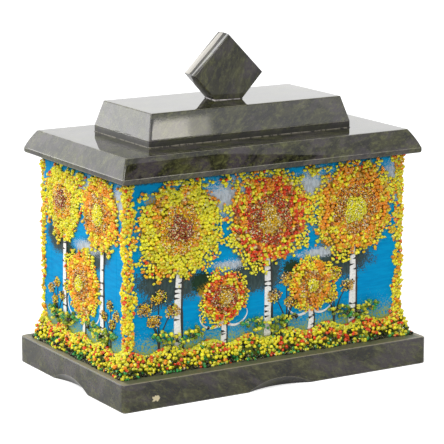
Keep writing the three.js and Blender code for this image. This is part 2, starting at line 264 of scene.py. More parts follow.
def add_node(tree, kind, sockets=None, **settings):
    """A node with its settings. sockets maps a socket's name or number to a value or another's output."""
    made = tree.nodes.new(kind)
    for name, value in settings.items():
        setattr(made, name, value)
    for key, value in (sockets or {}).items():
        feed(tree, made.inputs[key], value)
    return made


def feed(tree, socket, value):
    """Links a socket to another's output, or sets it to a plain value."""
    if isinstance(value, bpy.types.NodeSocket):
        tree.links.new(value, socket)
    else:
        socket.default_value = value


def work_out(tree, operation, *values):
    """The output of a Math node."""
    return add_node(tree, "ShaderNodeMath", dict(enumerate(values)), operation=operation).outputs[0]


def product(tree, first, *others):
    """The product of values and of others' outputs."""
    for other in others:
        first = work_out(tree, "MULTIPLY", first, other)
    return first


def noise_at(tree, vector, scale, detail=4.0, roughness=0.55, distortion=0.0):
    return add_node(tree, "ShaderNodeTexNoise", {
        "Vector": vector, "Scale": scale, "Detail": detail, "Roughness": roughness,
        "Distortion": distortion}).outputs["Fac"]


def between(tree, value, low, high):
    """0 below low, 1 above high, and a smooth rise between."""
    return add_node(tree, "ShaderNodeMapRange", {
        "Value": value, "From Min": low, "From Max": high}, interpolation_type="SMOOTHSTEP").outputs[0]


def below(tree, value, low, high):
    """1 below low, 0 above high, and a smooth fall between."""
    return work_out(tree, "SUBTRACT", 1.0, between(tree, value, low, high))


def blend(tree, factor, first, second, kind="MIX"):
    return add_node(tree, "ShaderNodeMix", {0: factor, 6: first, 7: second}, data_type="RGBA",
                    blend_type=kind).outputs[2]


def mapped(tree, vector, **sockets):
    named = {key.capitalize(): value for key, value in sockets.items()}
    return add_node(tree, "ShaderNodeMapping", {"Vector": vector, **named}).outputs[0]


def opaque(colour):
    return (*colour, 1.0)


def new_group(name, inputs, outputs):
    """A node group. inputs maps a socket's name to (kind, default), and outputs to its kind."""
    group = bpy.data.node_groups.new(name, "ShaderNodeTree")
    for label, (kind, default) in inputs.items():
        socket = group.interface.new_socket(label, in_out="INPUT", socket_type=f"NodeSocket{kind}")
        if default is not None:
            socket.default_value = default
    for label, kind in outputs.items():
        group.interface.new_socket(label, in_out="OUTPUT", socket_type=f"NodeSocket{kind}")
    return group, group.nodes.new("NodeGroupInput").outputs, group.nodes.new("NodeGroupOutput").inputs


def place_group(tree, name, **sockets):
    """A node group placed in a material with its own values. An underscore stands for a space."""
    made = tree.nodes.new("ShaderNodeGroup")
    made.node_tree = bpy.data.node_groups[name]
    for key, value in sockets.items():
        feed(tree, made.inputs[key.replace("_", " ").capitalize()], value)
    return made.outputs


def make_serpentine_group():
    """Cloudy olive, violet-grey and near-black stone, with moss patches, dark specks and streaks."""
    group, given, result = new_group("Serpentine", {
        "Position": ("Vector", None),
        "Cloud size": ("Float", 14 * MM),
        "Ground": ("Color", None),
        "Olive": ("Color", None),
        "Moss": ("Color", None),
        "Violet": ("Color", None),
    }, {"Colour": "Color", "Roughness change": "Float", "Height": "Float"})
    scale = work_out(group, "DIVIDE", 1.0, given["Cloud size"])
    tilted = mapped(group, given["Position"], rotation=(0.35, 0.62, 0.3), scale=(0.75, 1.25, 1.6))
    shifted = mapped(group, tilted, location=(3.0, 1.0, 2.0))
    streaked = mapped(group, given["Position"], scale=(1.0, 3.6, 3.6))
    clouds = noise_at(group, tilted, scale, 5.0, 0.6, 0.7)
    haze = noise_at(group, shifted, product(group, scale, 0.8), 4.0, 0.55, 0.4)
    patches = noise_at(group, shifted, product(group, scale, 3.4), 4.0, 0.62, 0.9)
    flecks = noise_at(group, shifted, product(group, scale, 9.0), 3.0, 0.6, 0.5)
    specks = noise_at(group, given["Position"], product(group, scale, 22.0), 2.0, 0.7)
    streaks = noise_at(group, streaked, product(group, scale, 1.6), 3.0, 0.6, 0.3)
    colour = blend(group, between(group, clouds, 0.4, 0.66), given["Ground"], given["Olive"])
    colour = blend(group, between(group, haze, 0.47, 0.62), colour, given["Violet"])
    cloudy = between(group, clouds, 0.4, 0.6)

    # Patches, streaks, flecks and specks, in the order in which they lie over each other
    for tone, share in (
            ("Moss", product(group, between(group, patches, 0.46, 0.74), cloudy, 0.8)),
            ("Moss", product(group, between(group, streaks, 0.5, 0.76), 0.4)),
            ("Moss", product(group, between(group, flecks, 0.52, 0.66), 0.35)),
            ("Ground", product(group, between(group, specks, 0.54, 0.68), 0.6))):
        colour = blend(group, share, colour, given[tone])
    group.links.new(colour, result["Colour"])
    group.links.new(work_out(group, "MULTIPLY_ADD", specks, 0.06, -0.02), result["Roughness change"])
    group.links.new(work_out(group, "MULTIPLY_ADD", clouds, 2.0, specks), result["Height"])


def make_wear_group():
    """Where an edge is bruised: a broken line along it."""
    group, given, result = new_group("Edge wear", {
        "Edge": ("Float", 0.0),
        "Position": ("Vector", None),
    }, {"Mask": "Float"})
    broken = noise_at(group, given["Position"], 420.0, 4.0, 0.65)
    line = work_out(group, "SUBTRACT", given["Edge"], product(group, broken, 0.5))
    group.links.new(between(group, line, 0.3, 0.75), result["Mask"])


def make_scratch_group():
    """Short polishing scratches that run mostly one way."""
    group, given, result = new_group("Fine scratches", {
        "Position": ("Vector", None),
        "Turn": ("Vector", (0.0, 0.0, 0.0)),
    }, {"Mask": "Float"})
    laid = mapped(group, given["Position"], rotation=given["Turn"], scale=(25.0, 900.0, 900.0))
    thin = noise_at(group, laid, 1.0, 2.0, 0.5)
    sparse = noise_at(group, given["Position"], 60.0, 3.0, 0.6)
    mask = product(group, between(group, thin, 0.66, 0.76), between(group, sparse, 0.5, 0.62))
    group.links.new(mask, result["Mask"])


def make_spray_group():
    """A patch of sprayed paint: solid in the middle, breaking up into droplets at its rim."""
    group, given, result = new_group("Sprayed patch", {
        "Position": ("Vector", None),
        "Centre": ("Vector", (0.0, 0.0, 0.0)),
        "Reach": ("Vector", (0.01, 0.01, 0.01)),
        "Softness": ("Float", 0.5),
        "Droplet": ("Float", 0.4 * MM),
    }, {"Mask": "Float"})
    offset = add_node(group, "ShaderNodeVectorMath", {0: given["Position"], 1: given["Centre"]},
                      operation="SUBTRACT").outputs[0]
    scaled = add_node(group, "ShaderNodeVectorMath", {0: offset, 1: given["Reach"]},
                      operation="DIVIDE").outputs[0]
    far = add_node(group, "ShaderNodeVectorMath", {0: scaled}, operation="LENGTH").outputs["Value"]
    wobble = noise_at(group, given["Position"], 95.0, 5.0, 0.62)
    drops = noise_at(group, given["Position"], work_out(group, "DIVIDE", 1.0, given["Droplet"]), 1.0, 0.5)
    edge = work_out(group, "MULTIPLY_ADD", work_out(group, "SUBTRACT", wobble, 0.5), 1.2, far)
    grain = product(group, given["Softness"], 2.2)
    grainy = work_out(group, "MULTIPLY_ADD", work_out(group, "SUBTRACT", drops, 0.5), grain, edge)
    low = work_out(group, "SUBTRACT", 1.0, product(group, given["Softness"], 0.3))
    group.links.new(below(group, grainy, low, 1.08), result["Mask"])


def make_mottle_group():
    """Uneven colour and a grainy height, for chips, strokes of paint and felt."""
    group, given, result = new_group("Mottle", {
        "Position": ("Vector", None),
        "Colour": ("Color", None),
        "Size": ("Float", 1.0 * MM),
        "Amount": ("Float", 0.3),
    }, {"Colour": "Color", "Height": "Float"})
    uneven = noise_at(group, given["Position"], work_out(group, "DIVIDE", 1.0, given["Size"]), 4.0, 0.6)
    darker = blend(group, 1.0, given["Colour"], (0.3, 0.3, 0.3, 1.0), "MULTIPLY")
    amount = product(group, between(group, uneven, 0.35, 0.7), given["Amount"])
    group.links.new(blend(group, amount, given["Colour"], darker), result["Colour"])
    group.links.new(uneven, result["Height"])


# Materials

# Tones that a user wouldn't change
# Painted shade at the foot of the upper slab
PAINTED_FOOT_SHADE = (0.012, 0.011, 0.008, 1)
SPILT_DARK = (0.03, 0.05, 0.025, 1)
SPILT_PALE = (0.17, 0.17, 0.1, 1)
RUBBED_HIGHLIGHT_STONE = (0.3, 0.27, 0.2, 1)
CREAM_FLECK = (0.62, 0.54, 0.34, 1)
PALE_CRUMB_HIGHLIGHT = (0.95, 0.85, 0.5, 1)
PAINTED_CHIP_GLINT = (0.95, 0.9, 0.65, 1)
DARK_GLUE = (0.014, 0.013, 0.011, 1)
WINE_FELT = (0.2, 0.012, 0.02, 1)
WINE_FUZZ = (0.34, 0.05, 0.06, 1)

# How strongly polished serpentine bends light, and which way its scratches run
STONE_IOR = 1.52
SCRATCH_TURN = (0.0, 0.0, 0.5)


class Finish:
    """A material in the making: its nodes, its shader and the position that its patterns follow."""

    def __init__(self, name):
        self.material = bpy.data.materials.new(name)
        self.material.use_nodes = True
        self.tree = self.material.node_tree
        self.tree.nodes.clear()
        self.shader = self.tree.nodes.new("ShaderNodeBsdfPrincipled")
        output = self.tree.nodes.new("ShaderNodeOutputMaterial")
        self.tree.links.new(self.shader.outputs[0], output.inputs["Surface"])
        self.position = self.tree.nodes.new("ShaderNodeTexCoord").outputs["Object"]

    def join(self, colour, roughness, height, depth, strength=1.0):
        """Feeds the shader and gives the finished material."""
        feed(self.tree, self.shader.inputs["Base Color"], colour)
        feed(self.tree, self.shader.inputs["Roughness"], roughness)
        bump = add_node(self.tree, "ShaderNodeBump", {
            "Height": height, "Strength": strength, "Distance": depth})
        self.tree.links.new(bump.outputs[0], self.shader.inputs["Normal"])
        return self.material


def polished_stone(finish, shift, lie=(0.2, 0.5, 0.3), extra_roughness=0.0):
    """Colour, roughness and height of polished serpentine. shift and lie say how a slab was cut from it."""
    stone = bpy.context.scene.trinket_stone
    tree, position = finish.tree, finish.position
    rock = mapped(tree, position, location=shift, rotation=lie)
    pattern = place_group(tree, "Serpentine", position=rock,
                          cloud_size=stone.cloud_size, ground=opaque(stone.ground),
                          olive=opaque(stone.olive), moss=opaque(stone.moss), violet=opaque(stone.violet))
    edge = add_node(tree, "ShaderNodeAttribute", attribute_name="edge").outputs["Fac"]
    worn = place_group(tree, "Edge wear", edge=edge, position=position)["Mask"]
    scratches = place_group(tree, "Fine scratches", position=position, turn=SCRATCH_TURN)["Mask"]
    colour = blend(tree, product(tree, worn, 0.8), pattern["Colour"], opaque(stone.worn))
    roughness = work_out(tree, "ADD", pattern["Roughness change"], stone.polish + extra_roughness)
    roughness = work_out(tree, "MULTIPLY_ADD", worn, 0.3, roughness)
    roughness = work_out(tree, "MULTIPLY_ADD", scratches, 0.22, roughness)
    finish.shader.inputs["IOR"].default_value = STONE_IOR
    return colour, roughness, pattern["Height"]


# How far the grain of a polished face stands out
STONE_RELIEF = 0.002 * MM


def plain_stone(name, shift, **options):
    finish = Finish(name)
    return finish.join(*polished_stone(finish, shift, **options), depth=STONE_RELIEF, strength=0.5)


def split_position(finish):
    """X, Y and Z of the position that a finish follows."""
    return add_node(finish.tree, "ShaderNodeSeparateXYZ", {"Vector": finish.position}).outputs


def foot_shaded_stone(name, shift, foot, reach):
    """Polished stone that dulls towards its foot, with painted shade that darkens it there."""
    finish = Finish(name)
    tree, split = finish.tree, split_position(finish)
    colour, roughness, height = polished_stone(finish, shift)
    dull_shaded_foot = below(tree, split["Z"], foot + 0.6 * reach, foot + reach)
    colour = blend(tree, product(tree, dull_shaded_foot, 0.7), colour, PAINTED_FOOT_SHADE)
    roughness = work_out(tree, "MULTIPLY_ADD", dull_shaded_foot, 0.4, roughness)
    return finish.join(colour, roughness, height, depth=STONE_RELIEF, strength=0.5)


def past_walls(tree, split):
    """How far a point lies outside the box of the four walls, negative inside it."""
    past_x = work_out(tree, "SUBTRACT", work_out(tree, "ABSOLUTE", split["X"]), BOX_LENGTH / 2)
    past_y = work_out(tree, "SUBTRACT", work_out(tree, "ABSOLUTE", split["Y"]), BOX_WIDTH / 2)
    return work_out(tree, "MAXIMUM", past_x, past_y)


# A cream fleck in the plinth's front, near its left end
FLECK_PLACE = Vector((plinth_low.x + 16 * MM, plinth_low.y, 4.8 * MM))
FLECK_REACH = Vector((1.7, 1.2, 1.2)) * MM

# How far from the walls the strayed paint thins out, and how far in from its edges the plinth is rubbed and
# carries a painted highlight
SPILT_REACH = (13.4 * MM, 15.4 * MM)
RUBBED_HIGHLIGHT_REACH = (2.2 * MM, 3.4 * MM)


def plinth_stone():
    """The plinth's stone, with green-black paint that strayed onto its top along the foot border, and a pale
    strip along its top edges that is partly rubbed stone and partly a painted highlight.
    """
    finish = Finish("Plinth stone")
    tree, position, split = finish.tree, finish.position, split_position(finish)
    colour, roughness, height = polished_stone(finish, (0.0, 0.4, 0.1), lie=(0.1, -0.5, 0.2))
    rag = noise_at(tree, position, 320.0, 4.0, 0.65)
    ragged = work_out(tree, "MULTIPLY_ADD", rag, 7 * MM, past_walls(tree, split))
    top = between(tree, split["Z"], PLINTH_TOP - 0.3 * MM, PLINTH_TOP - 0.1 * MM)
    spilt = product(tree, below(tree, ragged, *SPILT_REACH), top, 0.85)
    tint = blend(tree, noise_at(tree, position, 900.0), SPILT_DARK, SPILT_PALE)
    colour = blend(tree, spilt, colour, tint)
    # Pale strip inside the top edges, widest at the ends: rubbed stone and a painted highlight of the bright
    # ledge.
    inward_x = work_out(tree, "SUBTRACT", plinth_high.x, work_out(tree, "ABSOLUTE", split["X"]))
    inward_y = work_out(tree, "SUBTRACT", plinth_high.y, work_out(tree, "ABSOLUTE", split["Y"]))
    inward = work_out(tree, "MINIMUM", inward_x, product(tree, inward_y, 3.0))
    rubbed_highlight = product(tree, below(tree, inward, *RUBBED_HIGHLIGHT_REACH), top, 0.7)
    colour = blend(tree, rubbed_highlight, colour, RUBBED_HIGHLIGHT_STONE)
    fleck = place_group(tree, "Sprayed patch", position=position, centre=FLECK_PLACE, reach=FLECK_REACH,
                        softness=0.7, droplet=0.9 * MM)["Mask"]
    colour = blend(tree, fleck, colour, CREAM_FLECK)
    matt = work_out(tree, "MULTIPLY_ADD", spilt, 0.6, roughness)
    return finish.join(colour, matt, height, depth=STONE_RELIEF, strength=0.5)


def sprayed_patches(side):
    """(centre, reach, colour, softness) of each patch on a side, all as points of the frame."""
    paint = bpy.context.scene.trinket_paint
    thin = 2 * MM
    patches = []

    def add(along, up, wide, high, tone, softness):
        reach = Vector((thin, wide, high)) if QUARTERS[side] % 2 else Vector((wide, thin, high))
        patches.append((on_wall(side, along, up, 0), reach, tone, softness))

    for along, up, radius in flowers_on(side, "upper"):
        add(along + 1.25 * radius, up + 0.5 * radius, 0.85 * radius, 0.45 * radius, paint.mist, 1.0)
        add(along - 0.3 * radius, up - 1.15 * radius, 0.8 * radius, 0.5 * radius, paint.slate, 0.5)
        add(along, up, 0.97 * radius, 0.97 * radius, paint.undercoat, 0.3)
    for along, up, radius in flowers_on(side, "lower"):
        add(along + 0.3 * radius, up + 1.25 * radius, 0.85 * radius, 0.22 * radius, paint.mist, 1.0)
        add(along - 0.9 * radius, up + 0.7 * radius, 0.5 * radius, 0.45 * radius, paint.thicket, 0.5)
        add(along, up, 0.97 * radius, 0.97 * radius, paint.undercoat, 0.3)
    return patches


def touches(low, high, centre, reach):
    """Whether a patch reaches into the box from low to high."""
    return all(low[i] - reach[i] < centre[i] < high[i] + reach[i] for i in range(3))


# The speckles along the foot of the walls thin out upwards, and few are left at half this height
MEADOW_FADE = 42 * MM

# How dark the upright brush marks inside the patches are, as a share of the patch's tone
BRUSHED_TONE = 0.72

# Share of the usual gloss that matt paint and dyed chips keep
PAINT_GLOSS = 0.03
CHIP_GLOSS = 0.2


def painted_stone(node, shift):
    """A wall's stone, painted on the outer faces of the box and bare on the others, with a painted shadow
    where the lid overhangs.
    """
    paint = bpy.context.scene.trinket_paint
    low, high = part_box(node)
    finish = Finish(f"Painted {node}")
    tree, position, split = finish.tree, finish.position, split_position(finish)
    bare, roughness, _ = polished_stone(finish, shift, extra_roughness=0.15)
    streaks = noise_at(tree, mapped(tree, position, scale=(120.0, 120.0, 900.0)), 1.0, 4.0, 0.6)
    upright = noise_at(tree, mapped(tree, position, scale=(1300.0, 1300.0, 380.0)), 1.0, 3.0, 0.6)
    brushed = between(tree, upright, 0.42, 0.6)
    deep = blend(tree, 1.0, opaque(paint.blue), (0.6, 0.75, 0.85, 1), "MULTIPLY")
    colour = blend(tree, between(tree, streaks, 0.3, 0.75), opaque(paint.blue), deep)
    for side in QUARTERS:
        for centre, reach, tone, softness in sprayed_patches(side):
            if touches(low, high, centre, reach):
                mask = place_group(tree, "Sprayed patch", position=position, centre=centre, reach=reach,
                                   softness=softness)["Mask"]
                darker = [BRUSHED_TONE * channel for channel in tone]
                tone = blend(tree, brushed, opaque(tone), opaque(darker))
                colour = blend(tree, mask, colour, tone)
    up = work_out(tree, "SUBTRACT", split["Z"], PLINTH_TOP)
    speckles = noise_at(tree, position, 1500.0, 3.0, 0.65)
    sparser = work_out(tree, "MULTIPLY_ADD", up, -1 / MEADOW_FADE, speckles)
    colour = blend(tree, between(tree, sparser, 0.1, 0.32), colour, opaque(paint.meadow))
    # Painted shadow under the lid's overhang: the wall's top darkens towards the thicket colour.
    under_lid = work_out(tree, "MULTIPLY_ADD", upright, 2 * MM, up)
    painted_lid_shadow = between(tree, under_lid, WALL_HEIGHT - 1.8 * MM, WALL_HEIGHT - 0.9 * MM)
    colour = blend(tree, product(tree, painted_lid_shadow, 0.75), colour, opaque(paint.thicket))
    painted = between(tree, past_walls(tree, split), -0.6 * MM, -0.35 * MM)
    # Bare stone along the wall's top, which also stands in for the shadow line under the lid.
    bare_rim_and_shadow_line = between(tree, up, WALL_HEIGHT - 1.3 * MM, WALL_HEIGHT - 0.9 * MM)
    painted = work_out(tree, "SUBTRACT", painted, bare_rim_and_shadow_line)
    grain = noise_at(tree, position, 2200.0, 3.0, 0.6)
    relief = product(tree, painted, work_out(tree, "ADD", grain, streaks))
    matt = work_out(tree, "MULTIPLY_ADD", painted, 0.3, roughness)
    material = finish.join(blend(tree, painted, bare, colour), matt, relief, depth=0.05 * MM)
    finish.shader.inputs["Specular IOR Level"].default_value = PAINT_GLOSS
    return material


def chip_material(name, roughness, glint):
    """Crushed stone, dyed through: a colour for each chip, dark crumbs, pale crumbs that also serve as
    painted highlights, and a rare painted glint.
    """
    finish = Finish(name)
    tree, position = finish.tree, finish.position
    dye = add_node(tree, "ShaderNodeAttribute", attribute_name="chip_colour").outputs["Color"]
    mottled = place_group(tree, "Mottle", position=position, colour=dye, size=0.8 * MM, amount=0.35)
    # Pale crumbs, which also stand in for painted highlights on the chips' grains.
    pale_crumbs_and_highlights = between(tree, noise_at(tree, position, 1700.0, 2.0, 0.6), 0.54, 0.68)
    paler_and_highlit = blend(tree, 0.45, dye, PALE_CRUMB_HIGHLIGHT)
    colour = blend(tree, pale_crumbs_and_highlights, mottled["Colour"], paler_and_highlit)
    # Painted glints: a few tiny cells take a pale colour and a lower roughness.
    cells = add_node(tree, "ShaderNodeTexVoronoi", {"Vector": position, "Scale": 1800.0}).outputs["Color"]
    lucky = add_node(tree, "ShaderNodeSeparateColor", {0: cells}).outputs[0]
    painted_glints = between(tree, lucky, 1.0 - glint, 1.0 - glint / 2)
    colour = blend(tree, product(tree, painted_glints, 0.8), colour, PAINTED_CHIP_GLINT)
    shine = work_out(tree, "MULTIPLY_ADD", painted_glints, -0.6 * roughness, roughness)
    finish.shader.inputs["Specular IOR Level"].default_value = CHIP_GLOSS
    finish.shader.inputs["Subsurface Weight"].default_value = 0.4
    finish.shader.inputs["Subsurface Radius"].default_value = (1.0, 0.8, 0.2)
    finish.shader.inputs["Subsurface Scale"].default_value = 0.6 * MM
    return finish.join(colour, shine, mottled["Height"], depth=0.15 * MM, strength=0.8)


def thick_paint(name, colour):
    """A thick stroke of paint, with the unevenness of the hand."""
    finish = Finish(name)
    mottled = place_group(finish.tree, "Mottle", position=finish.position, colour=opaque(colour),
                          size=0.8 * MM, amount=0.35)
    return finish.join(mottled["Colour"], roughness=0.45, height=mottled["Height"], depth=0.06 * MM)


def glue_material(name, colour, share):
    """Hardened dark glue along a joint, with dust or a paler film on a share of it."""
    finish = Finish(name)
    dust = noise_at(finish.tree, finish.position, 480.0, 5.0, 0.7)
    dusty = between(finish.tree, dust, 0.62 - 0.25 * share, 0.68 - 0.25 * share)
    tone = blend(finish.tree, dusty, DARK_GLUE, opaque(colour))
    return finish.join(tone, roughness=0.35, height=dust, depth=0.06 * MM)


def felt_material():
    """Pressed wool felt: short matted fibres and a soft sheen."""
    finish = Finish("Wine felt")
    tree, position = finish.tree, finish.position
    fibres = noise_at(tree, mapped(tree, position, scale=(900.0, 2600.0, 900.0)), 1.0, 6.0, 0.75, 1.4)
    mottled = place_group(tree, "Mottle", position=position, colour=WINE_FELT, size=3 * MM, amount=0.4)
    fuzz = product(tree, between(tree, fibres, 0.45, 0.7), 0.35)
    finish.shader.inputs["Sheen Weight"].default_value = 0.4
    finish.shader.inputs["Sheen Roughness"].default_value = 0.5
    colour = blend(tree, fuzz, mottled["Colour"], WINE_FUZZ)
    return finish.join(colour, roughness=0.95, height=fibres, depth=0.35 * MM)


# Places on the walls


def on_wall(side, along, up, out):
    """The point of the frame that lies along, up and out from the middle of a wall's foot."""
    reach = (BOX_LENGTH if QUARTERS[side] % 2 else BOX_WIDTH) / 2
    turned = Matrix.Rotation(QUARTERS[side] * math.pi / 2, 3, "Z") @ Vector((along, -(reach + out), 0))
    return turned + Vector((0, 0, PLINTH_TOP + up))


def wall_length(side):
    return BOX_WIDTH if QUARTERS[side] % 2 else BOX_LENGTH


def node_on_wall(name, side):
    """(along, up, half the length, half the height) of a node on its wall."""
    low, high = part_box(name)
    centre, half = (low + high) / 2, (high - low) / 2
    turned = Matrix.Rotation(-QUARTERS[side] * math.pi / 2, 3, "Z") @ centre
    return turned.x, centre.z - PLINTH_TOP, half.y if QUARTERS[side] % 2 else half.x, half.z


def nodes_named(prefix):
    return sorted(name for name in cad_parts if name.startswith(prefix))


def flowers_on(side, row):
    """(along, up, radius) of each flower of a row, upper or lower, on a side."""
    found = []
    for name in nodes_named(f"{side}_{row}_flower"):
        along, up, wide, high = node_on_wall(name, side)
        found.append((along, up, max(wide, high)))
    return found


# Chips

# How many shapes there are of each kind of chip, and of how many points and crumbs one is made
SHAPES_OF_A_KIND = 24
LUMP_CORNERS = 18
CRUMB_CORNERS = 9
CRUMBS_OF_LARGE = 4

# Chips wider than this are lumps with crumbs grown onto them
LARGE_FROM = 2.5 * MM

chip_shapes = {}

# A loose hexagonal grid: the pitch of its rows and how far a point strays, as shares of the spacing
ROW_PITCH = 0.87
STRAY = 0.17

# How far chips stray in the looser rows of the borders and garlands, and how much all of them differ
# in height, as shares of their size
LOOSE_STRAY = 0.3
UNEVEN = 0.12

# How far out of the wall the middle of a chip of the first and of the second layer lies, in its widths
FIRST_LAYER = 0.32
SECOND_LAYER = 0.9

# Widths of the chips of some pieces: as shares of the large chip, of the small one for leaves and
# garlands, and of a flower's own for its fringe
FRINGE_CHIP = 0.85
BUD_CHIP = 0.9
BORDER_CHIP = 0.95
LEAF_CHIP = 1.25
GARLAND_CHIP = 1.1

# Half the width and half the height of a bud and of a spray's tuft, and how far below the wall's top
# the middle of a bud lies, in radii of the flower beside it
BUD_REACH = (0.36, 0.3)
TUFT_REACH = (0.21, 0.17)
BUD_DROP = 0.33


def unit_vector(draw):
    return Vector((draw.gauss(0, 1), draw.gauss(0, 1), draw.gauss(0, 1))).normalized()


def hull_shape(draw, corners):
    """Vertices and faces of one crumb about 1 across: the hull of points on a lumpy ball."""
    shape = bmesh.new()
    for _ in range(corners):
        shape.verts.new(unit_vector(draw) * draw.uniform(0.45, 0.51))
    result = bmesh.ops.convex_hull(shape, input=shape.verts)
    spare = {v for v in result["geom_interior"] + result["geom_unused"] if isinstance(v, bmesh.types.BMVert)}
    bmesh.ops.delete(shape, geom=list(spare), context="VERTS")
    bmesh.ops.recalc_face_normals(shape, faces=shape.faces)
    shape.verts.index_update()
    vertices = np.array([v.co for v in shape.verts])
    faces = np.array([[v.index for v in face.verts] for face in shape.faces])
    shape.free()
    return vertices, faces


def lumpy_shape(draw):
    """A larger chip: a lump with crumbs grown onto it, like a burst kernel."""
    vertices, faces = hull_shape(draw, LUMP_CORNERS)
    vertices = vertices * 0.8
    for _ in range(CRUMBS_OF_LARGE):
        crumb, corners = hull_shape(draw, CRUMB_CORNERS)
        crumb = crumb * draw.uniform(0.42, 0.62) + np.array(unit_vector(draw) * draw.uniform(0.22, 0.32))
        faces = np.concatenate((faces, corners + len(vertices)))
        vertices = np.concatenate((vertices, crumb))
    return vertices, faces


def make_chip_shapes():
    draw = random.Random("chip shapes")
    chip_shapes["large"] = [lumpy_shape(draw) for _ in range(SHAPES_OF_A_KIND)]
    chip_shapes["small"] = [hull_shape(draw, LUMP_CORNERS) for _ in range(SHAPES_OF_A_KIND)]


class ChipHeap:
    """The chips of one piece, gathered and then joined into one mesh."""

    def __init__(self, name):
        self.name = name
        self.draw = random.Random(name)
        self.chips = {}

    def add(self, place, size, colour, flat=0.88):
        """Drops one chip, turned at random. flat is its thickness as a share of its size."""
        draw = self.draw
        kind = "large" if size > LARGE_FROM else "small"
        shape = draw.randrange(SHAPES_OF_A_KIND)
        turn = Matrix.Rotation(draw.uniform(0, 2 * math.pi), 3, unit_vector(draw))
        spread = Matrix.Diagonal((size, size * draw.uniform(0.75, 1.0), size * flat))
        shade = draw.uniform(0.86, 1.1)
        tone = [min(1.0, channel * shade) for channel in colour] + [1.0]
        self.chips.setdefault((kind, shape), []).append((turn @ spread, place, tone))

    def piece(self, material, slot, replaced=()):
        vertices, faces, tones = [], [], []
        start = 0
        for (kind, shape), chips in sorted(self.chips.items()):
            base, corners = chip_shapes[kind][shape]
            turns = np.array([turn for turn, _, _ in chips])
            places = np.array([place for _, place, _ in chips])
            points = np.einsum("nij,vj->nvi", turns, base) + places[:, None]
            starts = start + len(base) * np.arange(len(chips))
            vertices.append(points.reshape(-1, 3))
            faces.append((corners[None] + starts[:, None, None]).reshape(-1, 3))
            tones.append(np.repeat(np.array([tone for _, _, tone in chips]), len(base), 0))
            start += len(base) * len(chips)
        made = new_piece(self.name, np.concatenate(vertices), np.concatenate(faces).tolist(), material,
                         replaced=replaced)
        layer = made.data.attributes.new("chip_colour", "FLOAT_COLOR", "POINT")
        layer.data.foreach_set("color", np.concatenate(tones).ravel())
        return made


def hexagonal(draw, wide, high, spacing):
    """Points about the origin on a loose hexagonal grid, wide and high in reach."""
    rows = math.ceil(high / (spacing * ROW_PITCH))
    columns = math.ceil(wide / spacing)
    for row in range(-rows, rows + 1):
        for column in range(-columns, columns + 1):
            x = (column + 0.5 * (row % 2) + draw.gauss(0, STRAY)) * spacing
            y = (row * ROW_PITCH + draw.gauss(0, STRAY)) * spacing
            yield x, y


def pick(draw, weights, place=None):
    """One colour by weight. Chips whose place is given tend to the colour of those near them."""
    level = draw.random()
    if place is not None:
        level = (2.5 * noise.noise(place * 110) + draw.gauss(0, 0.07)) % 1
    level *= sum(weights.values())
    for name, weight in weights.items():
        level -= weight
        if level < 0:
            break
    return getattr(bpy.context.scene.trinket_chips, name)


# What share of each colour goes where: in the flower's heart, at the petals' feet and at their tips
FLOWER_COLOURS = {
    "yellow": ({"rust": 5, "maroon": 2, "bronze": 3, "red": 1, "sand": 1},
               {"orange": 5, "gold": 4, "lemon": 3, "bronze": 2, "sand": 1},
               {"lemon": 9, "olive": 6, "gold": 2}),
    "orange": ({"lemon": 6, "olive": 2, "sand": 1},
               {"bronze": 4, "orange": 5, "rust": 2, "gold": 2, "sand": 1},
               {"orange": 7, "gold": 3, "lemon": 4}),
    "red": ({"gold": 5, "bronze": 2, "sand": 2},
            {"rust": 5, "red": 4, "bronze": 2, "gold": 1, "sand": 1},
            {"red": 5, "orange": 4, "lemon": 4, "olive": 1}),
}
FRINGE_COLOURS = {"lemon": 8, "olive": 6, "orange": 4, "gold": 2, "red": 0.5}
FLOWER_ORDER = {
    "front": ["yellow", "red", "orange"],
    "right": ["red", "yellow"],
    "back": ["orange", "yellow", "red"],
    "left": ["yellow", "orange"],
}
LEAF_COLOURS = {"leaf": 6, "olive": 4, "green": 3, "lemon": 1}
RIB_COLOURS = {"black": 2, "green": 3}
BUD_COLOURS = {"lemon": 6, "olive": 4, "orange": 1, "red": 1}
SPRAY_COLOURS = {"bronze": 5, "gold": 5, "olive": 2, "black": 3}
CREST_COLOURS = {"lemon": 8, "olive": 5, "red": 3, "orange": 3}
FOOT_COLOURS = {"black": 6, "green": 4, "olive": 3, "lemon": 1, "red": 1}
BED_COLOURS = {"black": 3, "green": 2, "olive": 6}
GARLAND_COLOURS = {"lemon": 9, "gold": 5, "olive": 3, "orange": 2, "red": 1}

# The relief of a flower, as the frame has it
PETALS = 8
PETAL_NOTCH = 0.13
PETAL_VALLEY = 0.42
FLOWER_RELIEF = 2.4 * MM
HEART_RELIEF = 0.9 * MM
HEART_SHARE = 0.3

# The share of a flower's reach that the fine grains fill
GRAINS_TO = 0.58


def petal_ridges(angle):
    """How near a direction is to the ridge of an outer petal and of an inner one, from 0 to 1."""
    return abs(math.sin(PETALS * angle / 2)), abs(math.cos(PETALS * angle / 2))


def flower_height(share, angle):
    """How far out of the wall a flower's surface lies, at a share of its reach and an angle."""
    outer, inner = petal_ridges(angle)
    heart = 1 + HEART_RELIEF / FLOWER_RELIEF
    section = [(0, heart), (0.8 * HEART_SHARE, 0.4 + 0.6 * heart), (1.15 * HEART_SHARE, 0.7),
               (0.48, 1.08 * (1 - PETAL_VALLEY * (1 - inner))), (0.62, 0.64),
               (0.8, 1 - PETAL_VALLEY * (1 - outer)), (0.95, 0.5), (1, 0)]
    return FLOWER_RELIEF * float(np.interp(share, *zip(*section)))


